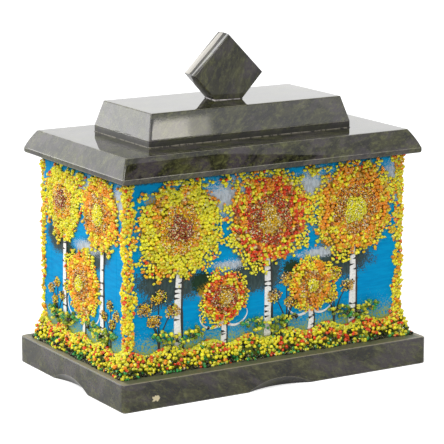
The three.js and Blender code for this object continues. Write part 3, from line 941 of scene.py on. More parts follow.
def add_flower(heap, grains, side, centre, radius, colours, size, grain):
    """Fine grains on the heart and the inner petals and coarse chips on the outer ones, in two layers."""
    draw = heap.draw
    heart, inner, outer = colours
    for pile, width, sunk, keep in ((heap, size, 0.6, 1.0), (heap, size, 0.0, 0.9),
                                    (grains, grain, 0.7, 1.0), (grains, grain, 0.0, 0.95)):
        for x, y in hexagonal(draw, radius, radius, 0.72 * width):
            angle = math.atan2(y, x)
            reach = radius * (1 - PETAL_NOTCH * (1 - petal_ridges(angle)[0]))
            share = math.hypot(x, y) / reach
            patch = noise.noise(on_wall(side, centre.x + x, centre.y + y, 0) * 150)
            fine = share + 0.22 * patch < GRAINS_TO
            if share > 1 or fine != (pile is grains) or draw.random() > keep:
                continue
            wide = draw.uniform(0.78, 1.12) * width
            height = flower_height(share, angle) - (sunk + draw.uniform(-UNEVEN, UNEVEN)) * width
            place = on_wall(side, centre.x + x, centre.y + y, max(0.3 * wide, height - 0.35 * wide))
            if fine:
                tone = pick(draw, heart if share < HEART_SHARE * (1 + 0.6 * patch) else inner)
            else:
                tone = pick(draw, inner if patch > 0.3 else outer, place)
            pile.add(place, wide, tone)


def add_fringe(heap, side, centre, radius, size):
    """A ragged rim of single chips round a flower, which thins out away from it."""
    draw = heap.draw
    half = wall_length(side) / 2
    for x, y in hexagonal(draw, 1.5 * radius, 1.5 * radius, 0.74 * size):
        place = on_wall(side, centre.x + x, centre.y + y, FIRST_LAYER * size)
        far = math.hypot(x, y) / radius
        rim = 1.15 + 0.3 * noise.noise(place * 95) + 0.3 * noise.noise(place * 330)
        wide = draw.uniform(0.6, 1.05) * size
        inside = abs(centre.x + x) < half and centre.y + y < WALL_HEIGHT - 0.6 * wide
        if 0.92 < far < rim and inside:
            heap.add(place, wide, pick(draw, FRINGE_COLOURS, place))


def leaf_edges(share):
    """The lower and upper edge of a leaf, as shares of its height, at a share of its length."""
    back = 2 - math.sqrt(1 + 3 * share)
    tip, crest, root = 0.83, 1.25, 0.62
    upper = tip * (1 - back) ** 2 + 2 * crest * back * (1 - back) + root * back ** 2
    return tip * share ** 2, upper


def add_leaves(heap, side, along, up, wide, high, size):
    """A pair of leaves that rise to both sides from their stalk, darker along their ribs."""
    draw = heap.draw
    for lift, keep in ((FIRST_LAYER, 0.97), (SECOND_LAYER, 0.6)):
        for x, y in hexagonal(draw, wide, high, 0.84 * size):
            lower, upper = leaf_edges(min(1.0, abs(x) / wide))
            share = (y / high + 1) / 2
            if not lower - 0.03 < share < upper or draw.random() > keep:
                continue
            rib = abs(share - (lower + upper) / 2) < 0.09
            place = on_wall(side, along + x, up + y, (lift + draw.uniform(-UNEVEN, UNEVEN)) * size)
            tone = pick(draw, RIB_COLOURS if rib and lift == SECOND_LAYER else LEAF_COLOURS, place)
            heap.add(place, draw.uniform(0.75, 1.1) * size, tone)


def add_bud(heap, side, along, up, reach, radius, colours, size):
    """An oval cluster of chips, thicker in the middle. reach is in radii of the flower beside it."""
    draw = heap.draw
    wide, high = (share * radius for share in reach)
    for lift, shrink in ((FIRST_LAYER, 1.0), (SECOND_LAYER, 0.62)):
        for x, y in hexagonal(draw, wide, high, 0.86 * size):
            far = math.hypot(x / wide, y / high)
            if far < shrink * draw.uniform(0.8, 1.05) and up + y < WALL_HEIGHT - size / 2:
                place = on_wall(side, along + x, up + y, (lift + draw.uniform(-UNEVEN, UNEVEN)) * size)
                heap.add(place, draw.uniform(0.7, 1.1) * size, pick(draw, colours, place))


def wave(share):
    """0 at a whole number, 1 halfway to the next."""
    return (1 - math.cos(2 * math.pi * share)) / 2


# How a foot border dips and draws in along its wall, as the frame has it
BORDER_WAVE = 21 * MM
BORDER_DIP = 3 * MM
BORDER_SPREAD_DIP = 1.4 * MM

# How far its crest stands out of the wall, and how many rows of chips lie over its section
BORDER_SHOULDER = 1.7 * MM
BORDER_ROWS = 9


def border_section(share, height, spread):
    """(up, out) at a share of the way over the border, from the wall down onto the plinth."""
    corners = [Vector(corner) for corner in (
        (height, 0.2 * MM), (height, 0.65 * BORDER_SHOULDER), (0.8 * height, BORDER_SHOULDER),
        (0.5 * height, (spread + BORDER_SHOULDER) / 2), (0.15 * height, 0.85 * spread), (0, spread))]
    place = min(max(share, 0), 0.999) * (len(corners) - 1)
    part = int(place)
    return corners[part].lerp(corners[part + 1], place - part)


def add_border(heap, side, node, size):
    """Chips heaped along the foot of a wall: coloured on the crest, dark where they meet the plinth."""
    draw = heap.draw
    low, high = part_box(node)
    height, spread = high.z - low.z, (high - low)[0 if QUARTERS[side] % 2 else 1]
    half = wall_length(side) / 2
    waves = round(2 * half / BORDER_WAVE)
    spacing = 0.7 * size
    count = round((half + spread) / spacing)
    for sink, keep, coloured in ((0.55, 1.0, False), (0.05, 0.9, True)):
        for step in range(-count, count + 1):
            for row in range(BORDER_ROWS + 1):
                x = (step + 0.5 * (row % 2) + draw.gauss(0, LOOSE_STRAY)) * spacing
                dip = wave(waves * (x / (2 * half) + 0.5))
                crest = height - BORDER_DIP * dip
                share = (row + draw.gauss(0, LOOSE_STRAY)) / BORDER_ROWS
                up, out = border_section(share, crest, spread - BORDER_SPREAD_DIP * dip)
                if abs(x) > half + out or draw.random() > keep:
                    continue
                colours, grain = CREST_COLOURS, size * draw.uniform(0.7, 1.1)
                if up < crest * draw.gauss(0.33, 0.12):
                    colours, grain = FOOT_COLOURS, size * draw.uniform(0.5, 0.75)
                if not coloured:
                    colours = BED_COLOURS
                up = max(up - sink * 0.3 * size, 0.35 * grain)
                out = max(out - sink * size, 0.3 * grain)
                place = on_wall(side, x, up, out)
                heap.add(place, grain, pick(draw, colours, place))


# The relief and the waves of a corner garland, as the frame has them
GARLAND_RELIEF = 0.7 * MM
GARLAND_WAVE = 12 * MM

# How many chips of a row may lie to each side of the corner
GARLAND_REACH = 6

# The signs of x and y at the corners of the box
CORNERS = {"front_left": (-1, -1), "front_right": (1, -1), "back_right": (1, 1), "back_left": (-1, 1)}


def add_garland(heap, corner_x, corner_y, node, size):
    """Chips wrapped round a vertical corner of the box, in clumps that lean to one wall or the other."""
    draw = heap.draw
    low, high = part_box(node)
    reach = high.x - low.x - GARLAND_RELIEF
    spacing = 0.62 * size
    for lift, keep in ((0.0, 1.0), (0.2, 0.8)):
        for row in range(round((high.z - low.z) / spacing) + 1):
            level = low.z + row * spacing
            lean = noise.noise(Vector((corner_x, corner_y, level)) * 130)
            clump = noise.noise(Vector((corner_y, corner_x, level)) * 75)
            width = 1.1 - 0.25 * wave((level - low.z) / GARLAND_WAVE) + 0.5 * clump
            for part in range(-GARLAND_REACH, GARLAND_REACH + 1):
                along = (part + 0.5 * (row % 2) + draw.gauss(0, LOOSE_STRAY)) * spacing
                z = level + draw.gauss(0, LOOSE_STRAY) * spacing
                edge = reach * (width + math.copysign(0.9 * lean, along))
                if abs(along) > edge or draw.random() > keep or not low.z < z < high.z:
                    continue
                out = (lift + draw.uniform(-UNEVEN, UNEVEN)) * size
                x = abs(corner_x) + out - max(along, 0)
                y = abs(corner_y) + out + min(along, 0)
                place = Vector((math.copysign(x, corner_x), math.copysign(y, corner_y), z))
                heap.add(place, draw.uniform(0.75, 1.15) * size, pick(draw, GARLAND_COLOURS, place))


# Strokes of paint

# How far each kind of stroke stands out of the wall
STALK_RISE = 0.22 * MM
EDGE_RISE = 0.3 * MM
MARK_RISE = 0.34 * MM
STEM_RISE = 0.25 * MM
TENDRIL_RISE = 0.2 * MM

# How far their edges are sunk into the wall
SUNK = 0.02 * MM

# How wide they are, and how far apart the marks on a stalk lie
UPPER_STALK_WIDTH = 3.8 * MM
LOWER_STALK_WIDTH = 2.9 * MM
STEM_WIDTH = 0.9 * MM
MARK_WIDTH = 1.3 * MM
TENDRIL_WIDTH = 1.5 * MM
MARK_SPACING = 3.2 * MM

# Into how many parts their paths are cut
STALK_STEPS = 16
STEM_STEPS = 8
MARK_STEPS = 5
TENDRIL_STEPS = 20

# Over the wall's foot, where the stalks begin and from where the tufts of a spray are measured, and
# how far below a flower's middle its stalk ends, in its radii
STALK_FOOT = 0.1 * WALL_HEIGHT
SPRAY_FOOT = 0.17 * WALL_HEIGHT
STALK_END = 0.85


class Strokes:
    """Raised ribbons of paint on one wall, gathered into one mesh."""

    def __init__(self, name, side):
        self.name = name
        self.side = side
        self.vertices = []
        self.faces = []

    def add(self, path, widths, thickness):
        """A ribbon along a path of (along, up) points, with a rounded section."""
        section = ((-1.0, 0.0), (-0.75, 0.8), (0.0, 1.0), (0.75, 0.8), (1.0, 0.0))
        start, count = len(self.vertices), len(section)
        for i, (point, width) in enumerate(zip(path, widths)):
            ahead = path[min(i + 1, len(path) - 1)] - path[max(i - 1, 0)]
            across = Vector((ahead.y, -ahead.x)).normalized() * width / 2
            for sideways, raised in section:
                place = point + across * sideways
                self.vertices.append(on_wall(self.side, place.x, place.y, thickness * raised - SUNK))
        for ring in range(len(path) - 1):
            for i in range(count):
                here, after = start + ring * count + i, start + ring * count + (i + 1) % count
                self.faces.append((here, here + count, after + count, after))
        last = start + (len(path) - 1) * count
        self.faces.append(tuple(start + i for i in range(count)))
        self.faces.append(tuple(last + i for i in reversed(range(count))))

    def piece(self, material):
        return new_piece(self.name, self.vertices, self.faces, material)


# The tufts of a spray: how far up and how far aside from its foot, in radii of the flower beside it
SPRAY_TUFTS = ((0.95, 0.0), (0.72, 0.38), (0.6, -0.34), (0.42, 0.12))


def sprays_on(side):
    """(along, up, radius, lean) of each fine-grained spray, which grows beside an upper flower's stalk."""
    found = []
    for number, (along, _, radius) in enumerate(flowers_on(side, "upper")):
        lean = 1 if number % 2 else -1
        found.append((along + lean * 0.5 * radius, SPRAY_FOOT, radius, lean))
    return found


def bezier(points, steps):
    """Points along a curve of any degree."""
    curve = []
    for step in range(steps + 1):
        row = list(points)
        while len(row) > 1:
            row = [a.lerp(b, step / steps) for a, b in zip(row, row[1:])]
        curve.append(row[0])
    return curve


def tapered(width, taper, steps):
    """Widths along a stroke that narrows by a share of its width at each step."""
    return [width * (1 - taper * step) for step in range(steps + 1)]


def add_stalk(dark, white, draw, along, top, width):
    """A white stalk with a dark edge and short dark marks across it."""
    bow = draw.uniform(-1.5, 1.5) * MM
    path = bezier([Vector((along, STALK_FOOT)), Vector((along + bow, (STALK_FOOT + top) / 2)),
                   Vector((along - bow / 2, top))], STALK_STEPS)
    widths = [width * (1.25 - 0.45 * step / STALK_STEPS) for step in range(STALK_STEPS + 1)]
    white.add(path, widths, STALK_RISE)
    edge = [point + Vector((0.5 * width, 0)) for point in path]
    dark.add(edge, [0.3 * wide * draw.uniform(0.6, 1.4) for wide in widths], EDGE_RISE)
    for _ in range(round((top - STALK_FOOT) / MARK_SPACING)):
        place = path[draw.randrange(1, STALK_STEPS)]
        lean = draw.choice((-1, 1)) * width
        mark = bezier([place + Vector((0.5 * lean, draw.uniform(-0.4, 0.4) * MM)),
                       place + Vector((0.1 * lean, draw.uniform(-0.3, 0.3) * MM)),
                       place - Vector((lean * draw.uniform(0.0, 0.3), 0))], MARK_STEPS)
        dark.add(mark, tapered(MARK_WIDTH, 0.25 / 1.3, MARK_STEPS), MARK_RISE)


def add_spray_stems(dark, along, up, radius, lean):
    """Thin dark stems from a spray's foot to its tufts."""
    foot = Vector((along, up - 0.3 * radius))
    for rise, out in SPRAY_TUFTS:
        tuft = Vector((along + lean * out * radius, up + rise * radius))
        path = bezier([foot, Vector((along, (foot.y + tuft.y) / 2)), tuft], STEM_STEPS)
        dark.add(path, tapered(STEM_WIDTH, 0.07, STEM_STEPS), STEM_RISE)


def add_tendril(white, draw, along, up, radius, lean):
    """A thin white curl that swings out from under a flower."""
    path = bezier([
        Vector((along + lean * 0.1 * radius, up - 1.05 * radius)),
        Vector((along + lean * draw.uniform(0.6, 0.75) * radius, up - 1.5 * radius)),
        Vector((along + lean * 1.25 * radius, up - 0.9 * radius)),
        Vector((along + lean * 1.05 * radius, up - 0.6 * radius))], TENDRIL_STEPS)
    white.add(path, tapered(TENDRIL_WIDTH, 1 / 24, TENDRIL_STEPS), TENDRIL_RISE)


# Operators


class TRINKET_OT_finishes(bpy.types.Operator):
    """Build the patterns that the finishes share, and the shapes of the chips"""

    bl_idname = "trinket.finishes"
    bl_label = "Patterns and chip shapes"

    def execute(self, context):
        make_serpentine_group()
        make_wear_group()
        make_scratch_group()
        make_spray_group()
        make_mottle_group()
        make_chip_shapes()
        chip_material("Dyed chips", roughness=0.5, glint=0.015)
        # The fine grains get more painted glints than the chips.
        chip_material("Sparkling grains", roughness=0.35, glint=0.12)
        glue_material("Dusty glue", (0.2, 0.18, 0.14), share=0.75)
        glue_material("Pale glue", (0.5, 0.46, 0.46), share=0.9)
        return {"FINISHED"}


# The plinth's rounding and scoops, as the frame has them
PLINTH_CORNER = 2 * MM
PLINTH_CHAMFER = 0.45 * MM
PLINTH_FOOT = 0.4 * MM
SCOOP_HEIGHT = 4.8 * MM
SCOOP_DEPTH = 4.1 * MM
SCOOP_WHEEL = 49 * MM


def scoop_height(along):
    """How high the scoop in the middle of an edge reaches on the plinth's side, at a place along it."""
    if abs(along) >= SCOOP_WHEEL:
        return 0.0
    sag = SCOOP_WHEEL - math.sqrt(SCOOP_WHEEL ** 2 - along ** 2)
    deepest = SCOOP_HEIGHT * SCOOP_DEPTH / math.hypot(SCOOP_HEIGHT, SCOOP_DEPTH)
    return max(0.0, SCOOP_HEIGHT * (1 - sag / deepest))


def plinth_rings():
    """Rings from the underside out over the foot, which the scoops cut back, and up to the top."""
    length, width, height = plinth_high.x - plinth_low.x, plinth_high.y - plinth_low.y, plinth_high.z
    cuts = edge_cuts(rectangle(length, width))
    arris = bpy.context.scene.trinket_stone.arris
    hold = 3 * MM
    rings = []

    def add_ring(inset, z, worn, foot=None):
        ring = []
        upward = -1 if z < height / 2 else 1
        corners = rectangle(length - 2 * inset, width - 2 * inset)
        for point, normal, cornered in polygon_outline(corners, PLINTH_CORNER, cuts):
            outward = Vector((normal.x, normal.y, upward)).normalized()
            place = Vector((point.x, point.y, z))
            if foot is not None:
                share, offset = foot
                along = point.x if abs(normal.y) > abs(normal.x) else point.y
                cut = scoop_height(along) if cornered == 0 else 0.0
                up, back = max(PLINTH_FOOT, cut), max(PLINTH_FOOT, cut * SCOOP_DEPTH / SCOOP_HEIGHT)
                place -= Vector((normal.x, normal.y, 0)) * (back * (1 - share) + max(0, -offset))
                place.z = up * share + max(0, offset)
            ring.append((place, outward, 0.0 if inset >= hold else max(worn, 0.6 * cornered)))
        rings.append(ring)

    add_ring(10 * MM, 0, 0)
    for share, offset, worn in ((0.0, -0.5 * MM, 0.0), (0.0, 0.0, 0.5), (0.06, 0.0, 0.3), (0.94, 0.0, 0.3),
                                (1.0, 0.0, 0.9), (1.0, 0.4 * MM, 0.0)):
        add_ring(0, 0, worn, (share, offset))
    top = [(Vector((0, 0, height - hold)), 0, 0),
           (Vector((0, 0, height - PLINTH_CHAMFER)), 0.5 * arris, 0.2),
           (Vector((PLINTH_CHAMFER, PLINTH_CHAMFER, height)), 0.5 * arris, 0.5),
           (Vector((hold, hold, height)), 0, 0)]
    for place, worn in eased_profile(top):
        add_ring(place.x, place.z, worn)
    return rings


class TRINKET_OT_plinth(bpy.types.Operator):
    """Build the plinth with its scooped lower edges"""

    bl_idname = "trinket.plinth"
    bl_label = "Plinth"

    def execute(self, context):
        stone_piece("plinth_stone", plinth_rings(), plinth_stone(), "box_body", ["plinth"])
        return {"FINISHED"}


def add_plate(name, node, material, body, corner, arris_below, arris_above):
    """A plain plate of stone with eased edges, in the place of a node."""
    low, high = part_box(node)
    centre, size = (low + high) / 2, high - low
    hold = 1.5 * MM
    profile = eased_profile([
        (Vector((hold, hold, 0)), 0, 0), (Vector((0, 0, 0)), arris_below, 0.4),
        (Vector((0, 0, size.z)), arris_above, 0.8), (Vector((hold, hold, size.z)), 0, 0)])
    rings = slab_rings(size.x, size.y, corner, profile, low.z, size.z / 2)
    return stone_piece(name, rings, material, body, [node], Matrix.Translation((centre.x, centre.y, 0)))


class TRINKET_OT_walls(bpy.types.Operator):
    """Build the four painted plates"""

    bl_idname = "trinket.walls"
    bl_label = "Walls"

    def execute(self, context):
        arris = context.scene.trinket_stone.arris
        for number, side in enumerate(QUARTERS):
            node = f"{side}_wall"
            material = painted_stone(node, (0.3 * number, 0.1, 0.2))
            plate = add_plate(f"{side}_plate", node, material, "box_body", 0.3 * MM, arris / 2, arris)
        return {"FINISHED"}


# The rims and bevels of the lid's slabs, as the frame has them
LID_RIM = 2.3 * MM
LID_BEVEL = Vector((4.4, 5.3)) * MM
LID_SWELL = 0.35 * MM
LID_RIM_ROUNDING = 1.1 * MM
LID_CORNER = 0.9 * MM
CROWN_RIM = 3.2 * MM
CROWN_BEVEL = Vector((3.0, 3.4)) * MM
CROWN_FOOT_ROUNDING = 0.4 * MM
CROWN_CORNER = 0.6 * MM
BEVEL_PARTS = 4

# Half the thickness of the beads of glue under the upper slab and under the knob
CROWN_BEAD = 0.32 * MM
KNOB_BEAD = 0.42 * MM
BEAD_SIDES = 6


def lid_slab_rings(low, high, rim, bevel, rounding, corner, swell):
    """Rings of a slab with a rounded foot, an upright rim and a bevel that swells halfway up."""
    arris = bpy.context.scene.trinket_stone.arris
    thickness = high.z - low.z
    hold = 2.5 * MM
    corners = [(Vector((hold, hold, 0)), 0, 0), (Vector((0, 0, 0)), rounding, 0.35),
               (Vector((0, 0, rim)), 0.8 * arris, 0.9)]
    for part in range(1, BEVEL_PARTS):
        share = part / BEVEL_PARTS
        bulge = swell * 4 * share * (1 - share)
        inset = bevel * share - Vector((bulge, bulge))
        corners.append((Vector((inset.x, inset.y, rim + (thickness - rim) * share)), MM, 0))
    corners.append((Vector((bevel.x, bevel.y, thickness)), arris, 0.9))
    corners.append((Vector((bevel.x + hold, bevel.y + hold, thickness)), 0, 0))
    return slab_rings(high.x - low.x, high.y - low.y, corner, eased_profile(corners), low.z, thickness / 2)


def add_bead(name, outline, place, thickness, glue, body):
    """A bead of glue squeezed out along a closed outline, uneven in thickness."""
    vertices, faces = [], []
    for point, normal, _ in outline:
        middle = place @ Vector((point.x, point.y, 0))
        outward = place.to_3x3() @ Vector((normal.x, normal.y, 0))
        lumps = 0.8 * max(0.0, noise.noise(middle * 140)) + 0.3 * noise.noise(middle * 700)
        swollen = thickness * (0.75 + lumps)
        for i in range(BEAD_SIDES):
            angle = 2 * math.pi * i / BEAD_SIDES
            vertices.append(middle + (outward * math.cos(angle) + Vector((0, 0, math.sin(angle)))) * swollen)
    for ring in range(len(outline)):
        here, after = ring * BEAD_SIDES, (ring + 1) % len(outline) * BEAD_SIDES
        for i in range(BEAD_SIDES):
            above = (i + 1) % BEAD_SIDES
            faces.append((here + i, after + i, after + above, here + above))
    return new_piece(name, vertices, faces, bpy.data.materials[glue], body)


class TRINKET_OT_lid(bpy.types.Operator):
    """Build the two slabs of the lid and the glue between them"""

    bl_idname = "trinket.lid"
    bl_label = "Lid slabs"

    def execute(self, context):
        lower = lid_slab_rings(lid_low, lid_high, LID_RIM, LID_BEVEL, LID_RIM_ROUNDING, LID_CORNER, LID_SWELL)
        upper = lid_slab_rings(crown_low, crown_high, CROWN_RIM, CROWN_BEVEL, CROWN_FOOT_ROUNDING,
                               CROWN_CORNER, 0)
        lower_stone = plain_stone("Lower slab stone", (0.5, 0.2, 0.7))
        upper_stone = foot_shaded_stone("Upper slab stone", (1.1, 0.6, 0.2), crown_low.z, 3 * MM)
        stone_piece("lid_lower_stone", lower, lower_stone, "lid", ["lid_lower_slab"])
        stone_piece("lid_upper_stone", upper, upper_stone, "lid", ["lid_upper_slab"])
        corners = rectangle(crown_high.x - crown_low.x, crown_high.y - crown_low.y)
        outline = polygon_outline(corners, CROWN_CORNER, edge_cuts(corners))
        place = Matrix.Translation((0, 0, lid_high.z + 0.1 * MM))
        add_bead("crown_glue", outline, place, CROWN_BEAD, "Dusty glue", "lid")
        return {"FINISHED"}


# The knob's tile, as the frame has it
KNOB_HALF_WIDTH = 17.3 * MM
KNOB_RISE = 18.4 * MM
KNOB_DROP = 11.7 * MM
KNOB_FOOT = 6.9 * MM
KNOB_THICKNESS = 11.5 * MM
KNOB_CHAMFER = 0.4 * MM
KNOB_TURN = math.radians(-5.5)

# How far its narrow faces swell halfway between back and front, and the rounding where two of them meet
KNOB_SWELL = 0.2 * MM
KNOB_CORNER = 0.3 * MM


def drawn_in(corners, inset):
    """A polygon whose edges have all moved inwards by inset."""
    moved = []
    for i, corner in enumerate(corners):
        before = (corner - corners[i - 1]).normalized()
        after = (corners[(i + 1) % len(corners)] - corner).normalized()
        first, second = Vector((-before.y, before.x)), Vector((-after.y, after.x))
        moved.append(corner + (first + second) * inset / (1 + first.dot(second)))
    return moved


def knob_rings():
    """Rings of the tile from its back to its front. They lie flat, and the knob's turn stands them up."""
    corners = [Vector((-KNOB_FOOT, 0)), Vector((KNOB_FOOT, 0)), Vector((KNOB_HALF_WIDTH, KNOB_DROP)),
               Vector((0, KNOB_DROP + KNOB_RISE)), Vector((-KNOB_HALF_WIDTH, KNOB_DROP))]
    cuts = edge_cuts(corners)
    half, hold = KNOB_THICKNESS / 2, 2 * MM
    ease = bpy.context.scene.trinket_stone.arris / 2
    section = [
        (KNOB_CHAMFER + hold, -half, 0, 0), (KNOB_CHAMFER, -half, ease, 0.8),
        (KNOB_SWELL, KNOB_CHAMFER - half, ease, 0.8), (0.25 * KNOB_SWELL, -half / 2, MM, 0),
        (0, 0, MM, 0), (0.25 * KNOB_SWELL, half / 2, MM, 0),
        (KNOB_SWELL, half - KNOB_CHAMFER, ease, 0.8), (KNOB_CHAMFER, half, ease, 0.8),
        (KNOB_CHAMFER + hold, half, 0, 0)]
    rings = []
    corners_across = [(Vector((inset, 0, z)), reach, worn) for inset, z, reach, worn in section]
    for place, worn in eased_profile(corners_across):
        toward = 1 if place.z > 0 else -1
        rings.append([
            (Vector((point.x, point.y, place.z)), Vector((normal.x, normal.y, toward)).normalized(),
             max(worn, 0.6 * cornered if place.x < KNOB_CHAMFER + MM else 0))
            for point, normal, cornered in polygon_outline(drawn_in(corners, place.x), KNOB_CORNER, cuts)])
    return rings


class TRINKET_OT_knob(bpy.types.Operator):
    """Build the square tile that stands on its cut corner"""

    bl_idname = "trinket.knob"
    bl_label = "Knob"

    def execute(self, context):
        centre = (knob_low + knob_high) / 2
        foot = Matrix.Translation((centre.x, centre.y, knob_low.z)) @ Matrix.Rotation(KNOB_TURN, 4, "Z")
        upright = foot @ Matrix.Rotation(math.pi / 2, 4, "X")
        material = plain_stone("Knob stone", (0.2, 1.4, 0.9), lie=(0.0, 1.25, 0.0))
        stone_piece("knob_stone", knob_rings(), material, "lid", ["lid_knob"], upright)
        corners = rectangle(2 * KNOB_FOOT, KNOB_THICKNESS - 2 * KNOB_CHAMFER)
        outline = polygon_outline(corners, KNOB_CORNER, edge_cuts(corners))
        add_bead("knob_glue", outline, foot, KNOB_BEAD, "Pale glue", "lid")
        return {"FINISHED"}


class TRINKET_OT_strips(bpy.types.Operator):
    """Build the strips under the lid that keep it in place"""

    bl_idname = "trinket.strips"
    bl_label = "Lid strips"

    def execute(self, context):
        arris = context.scene.trinket_stone.arris
        material = plain_stone("Strip stone", (0.9, 0.9, 0.3), extra_roughness=0.2)
        for side in QUARTERS:
            add_plate(f"strip_{side}_stone", f"lid_strip_{side}", material, "lid", 0.3 * MM, arris, arris)
        return {"FINISHED"}


# The step of the felt's mesh, and how far it keeps inside the frame's lining above and below
FELT_STEP = 1.3 * MM
FELT_GIVE = 0.2 * MM


class TRINKET_OT_lining(bpy.types.Operator):
    """Lay the felt on the floor of the box"""

    bl_idname = "trinket.lining"
    bl_label = "Felt lining"

    def execute(self, context):
        low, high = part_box("floor_lining")
        size = high - low
        columns, rows = round(size.x / FELT_STEP), round(size.y / FELT_STEP)
        vertices, faces = [], []
        for row in range(rows + 1):
            for column in range(columns + 1):
                place = Vector((low.x + size.x * column / columns, low.y + size.y * row / rows, 0))
                wavy = 0.12 * MM * noise.noise(place * 90) + 0.06 * MM * noise.noise(place * 420)
                vertices.append(place + Vector((0, 0, high.z - FELT_GIVE + wavy)))
        for row in range(rows):
            for column in range(columns):
                here = row * (columns + 1) + column
                faces.append((here, here + 1, here + columns + 2, here + columns + 1))
        felt = new_piece("felt_lining", vertices, faces, felt_material(), replaced=["floor_lining"])
        thicken = felt.modifiers.new("Thickness", "SOLIDIFY")
        thicken.thickness = size.z - 2 * FELT_GIVE
        thicken.offset = -1
        return {"FINISHED"}


class TRINKET_OT_flowers(bpy.types.Operator):
    """Glue the chips of the flowers onto the walls"""

    bl_idname = "trinket.flowers"
    bl_label = "Flowers"

    def execute(self, context):
        chips = context.scene.trinket_chips
        dyed, sparkling = bpy.data.materials["Dyed chips"], bpy.data.materials["Sparkling grains"]
        for side, order in FLOWER_ORDER.items():
            for row, size, first in (("upper", chips.large, 0), ("lower", chips.small, 1)):
                for number, node in enumerate(nodes_named(f"{side}_{row}_flower")):
                    colour = order[(number + first) % len(order)]
                    along, up, wide, high = node_on_wall(node, side)
                    centre, radius = Vector((along, up)), max(wide, high)
                    petals, heart = ChipHeap(f"{node}_petals"), ChipHeap(f"{node}_heart")
                    add_flower(petals, heart, side, centre, radius, FLOWER_COLOURS[colour], size, chips.grain)
                    add_fringe(petals, side, centre, radius, FRINGE_CHIP * size)
                    petals.piece(dyed, f"{colour}_chips", [node])
                    heart.piece(sparkling, f"{colour}_chips", [node])
        return {"FINISHED"}


class TRINKET_OT_leaves(bpy.types.Operator):
    """Glue the chips of the leaves and buds onto the walls"""

    bl_idname = "trinket.leaves"
    bl_label = "Leaves and buds"

    def execute(self, context):
        chips = context.scene.trinket_chips
        material = bpy.data.materials["Dyed chips"]
        for side in QUARTERS:
            for node in nodes_named(f"{side}_leaves"):
                heap = ChipHeap(f"{node}_chips")
                add_leaves(heap, side, *node_on_wall(node, side), LEAF_CHIP * chips.small)
                heap.piece(material, "green_chips", [node])
            buds = ChipHeap(f"{side}_buds")
            for along, _, radius in flowers_on(side, "lower"):
                add_bud(buds, side, along, WALL_HEIGHT - BUD_DROP * radius, BUD_REACH, radius,
                        BUD_COLOURS, BUD_CHIP * chips.large)
            buds.piece(material, "mixed_chips")
            sprays = ChipHeap(f"{side}_sprays")
            for along, up, radius, lean in sprays_on(side):
                for rise, out in SPRAY_TUFTS:
                    add_bud(sprays, side, along + lean * out * radius, up + rise * radius,
                            TUFT_REACH, radius, SPRAY_COLOURS, chips.grain)
            sprays.piece(bpy.data.materials["Sparkling grains"], "mixed_chips")
        return {"FINISHED"}


class TRINKET_OT_borders(bpy.types.Operator):
    """Heap the chips along the foot of the walls and up their corners"""

    bl_idname = "trinket.borders"
    bl_label = "Borders and garlands"

    def execute(self, context):
        chips = context.scene.trinket_chips
        material = bpy.data.materials["Dyed chips"]
        for side in QUARTERS:
            node = f"{side}_foot_border"
            heap = ChipHeap(f"{node}_chips")
            add_border(heap, side, node, BORDER_CHIP * chips.large)
            heap.piece(material, "mixed_chips", [node])
        for name, (sign_x, sign_y) in CORNERS.items():
            node = f"{name}_corner_garland"
            heap = ChipHeap(f"{node}_chips")
            add_garland(heap, sign_x * BOX_LENGTH / 2, sign_y * BOX_WIDTH / 2, node,
                        GARLAND_CHIP * chips.small)
            heap.piece(material, "mixed_chips", [node])
        return {"FINISHED"}


class TRINKET_OT_strokes(bpy.types.Operator):
    """Brush the stalks and tendrils onto the walls"""

    bl_idname = "trinket.strokes"
    bl_label = "Painted strokes"

    def execute(self, context):
        paint = context.scene.trinket_paint
        dark_paint = thick_paint("Dark strokes", paint.stalk)
        white_paint = thick_paint("White strokes", paint.highlight)
        for side in QUARTERS:
            dark, white = Strokes(f"{side}_dark_strokes", side), Strokes(f"{side}_white_strokes", side)
            draw = random.Random(f"strokes {side}")
            for along, up, radius in flowers_on(side, "upper"):
                add_stalk(dark, white, draw, along, up - STALK_END * radius, UPPER_STALK_WIDTH)
            for spray in sprays_on(side):
                add_spray_stems(dark, *spray)
            for along, up, radius in flowers_on(side, "lower"):
                add_stalk(dark, white, draw, along, up - STALK_END * radius, LOWER_STALK_WIDTH)
                for lean in (-1, 1):
                    add_tendril(white, draw, along, up, radius, lean)
            dark.piece(dark_paint)
            white.piece(white_paint)
        return {"FINISHED"}


# Stage

# Halfway from the plinth's foot to the upper slab's top, which the lamps and the card face
LAMP_AIM = Vector((0, 0, (plinth_low.z + crown_high.z) / 2))

# The tint of the lamps that stand for a window and for what the knob mirrors
CREAM = (1.0, 0.95, 0.85)

BLACK_CARD = (0.01, 0.01, 0.01, 1)
FLOOR_WHITE = (0.85, 0.85, 0.85, 1)

# How brightly the floor glows for the camera, and the share of that glow in mirrors and glass
FLOOR_GLOW = 0.62
MIRRORED_GLOW = 0.2

SENSOR_MM = 36


def direction_of(azimuth, elevation):
    """The unit vector that points out from the box. Azimuth 0 is the front, and it grows to the right."""
    return Vector((math.sin(azimuth) * math.cos(elevation), -math.cos(azimuth) * math.cos(elevation),
                   math.sin(elevation)))


def hang(name, data, azimuth, elevation, distance, turn=0.0):
    """Hangs a lamp or a card so that it faces the box, unseen by the camera. Angles are in degrees."""
    hung = bpy.data.objects.new(name, data)
    toward = direction_of(math.radians(azimuth), math.radians(elevation))
    hung.location = LAMP_AIM + toward * distance
    facing = toward.to_track_quat("Z", "Y").to_matrix()
    hung.rotation_euler = (facing @ Matrix.Rotation(math.radians(turn), 3, "Z")).to_euler()
    hung.visible_camera = False
    bpy.context.scene.collection.objects.link(hung)
    return hung


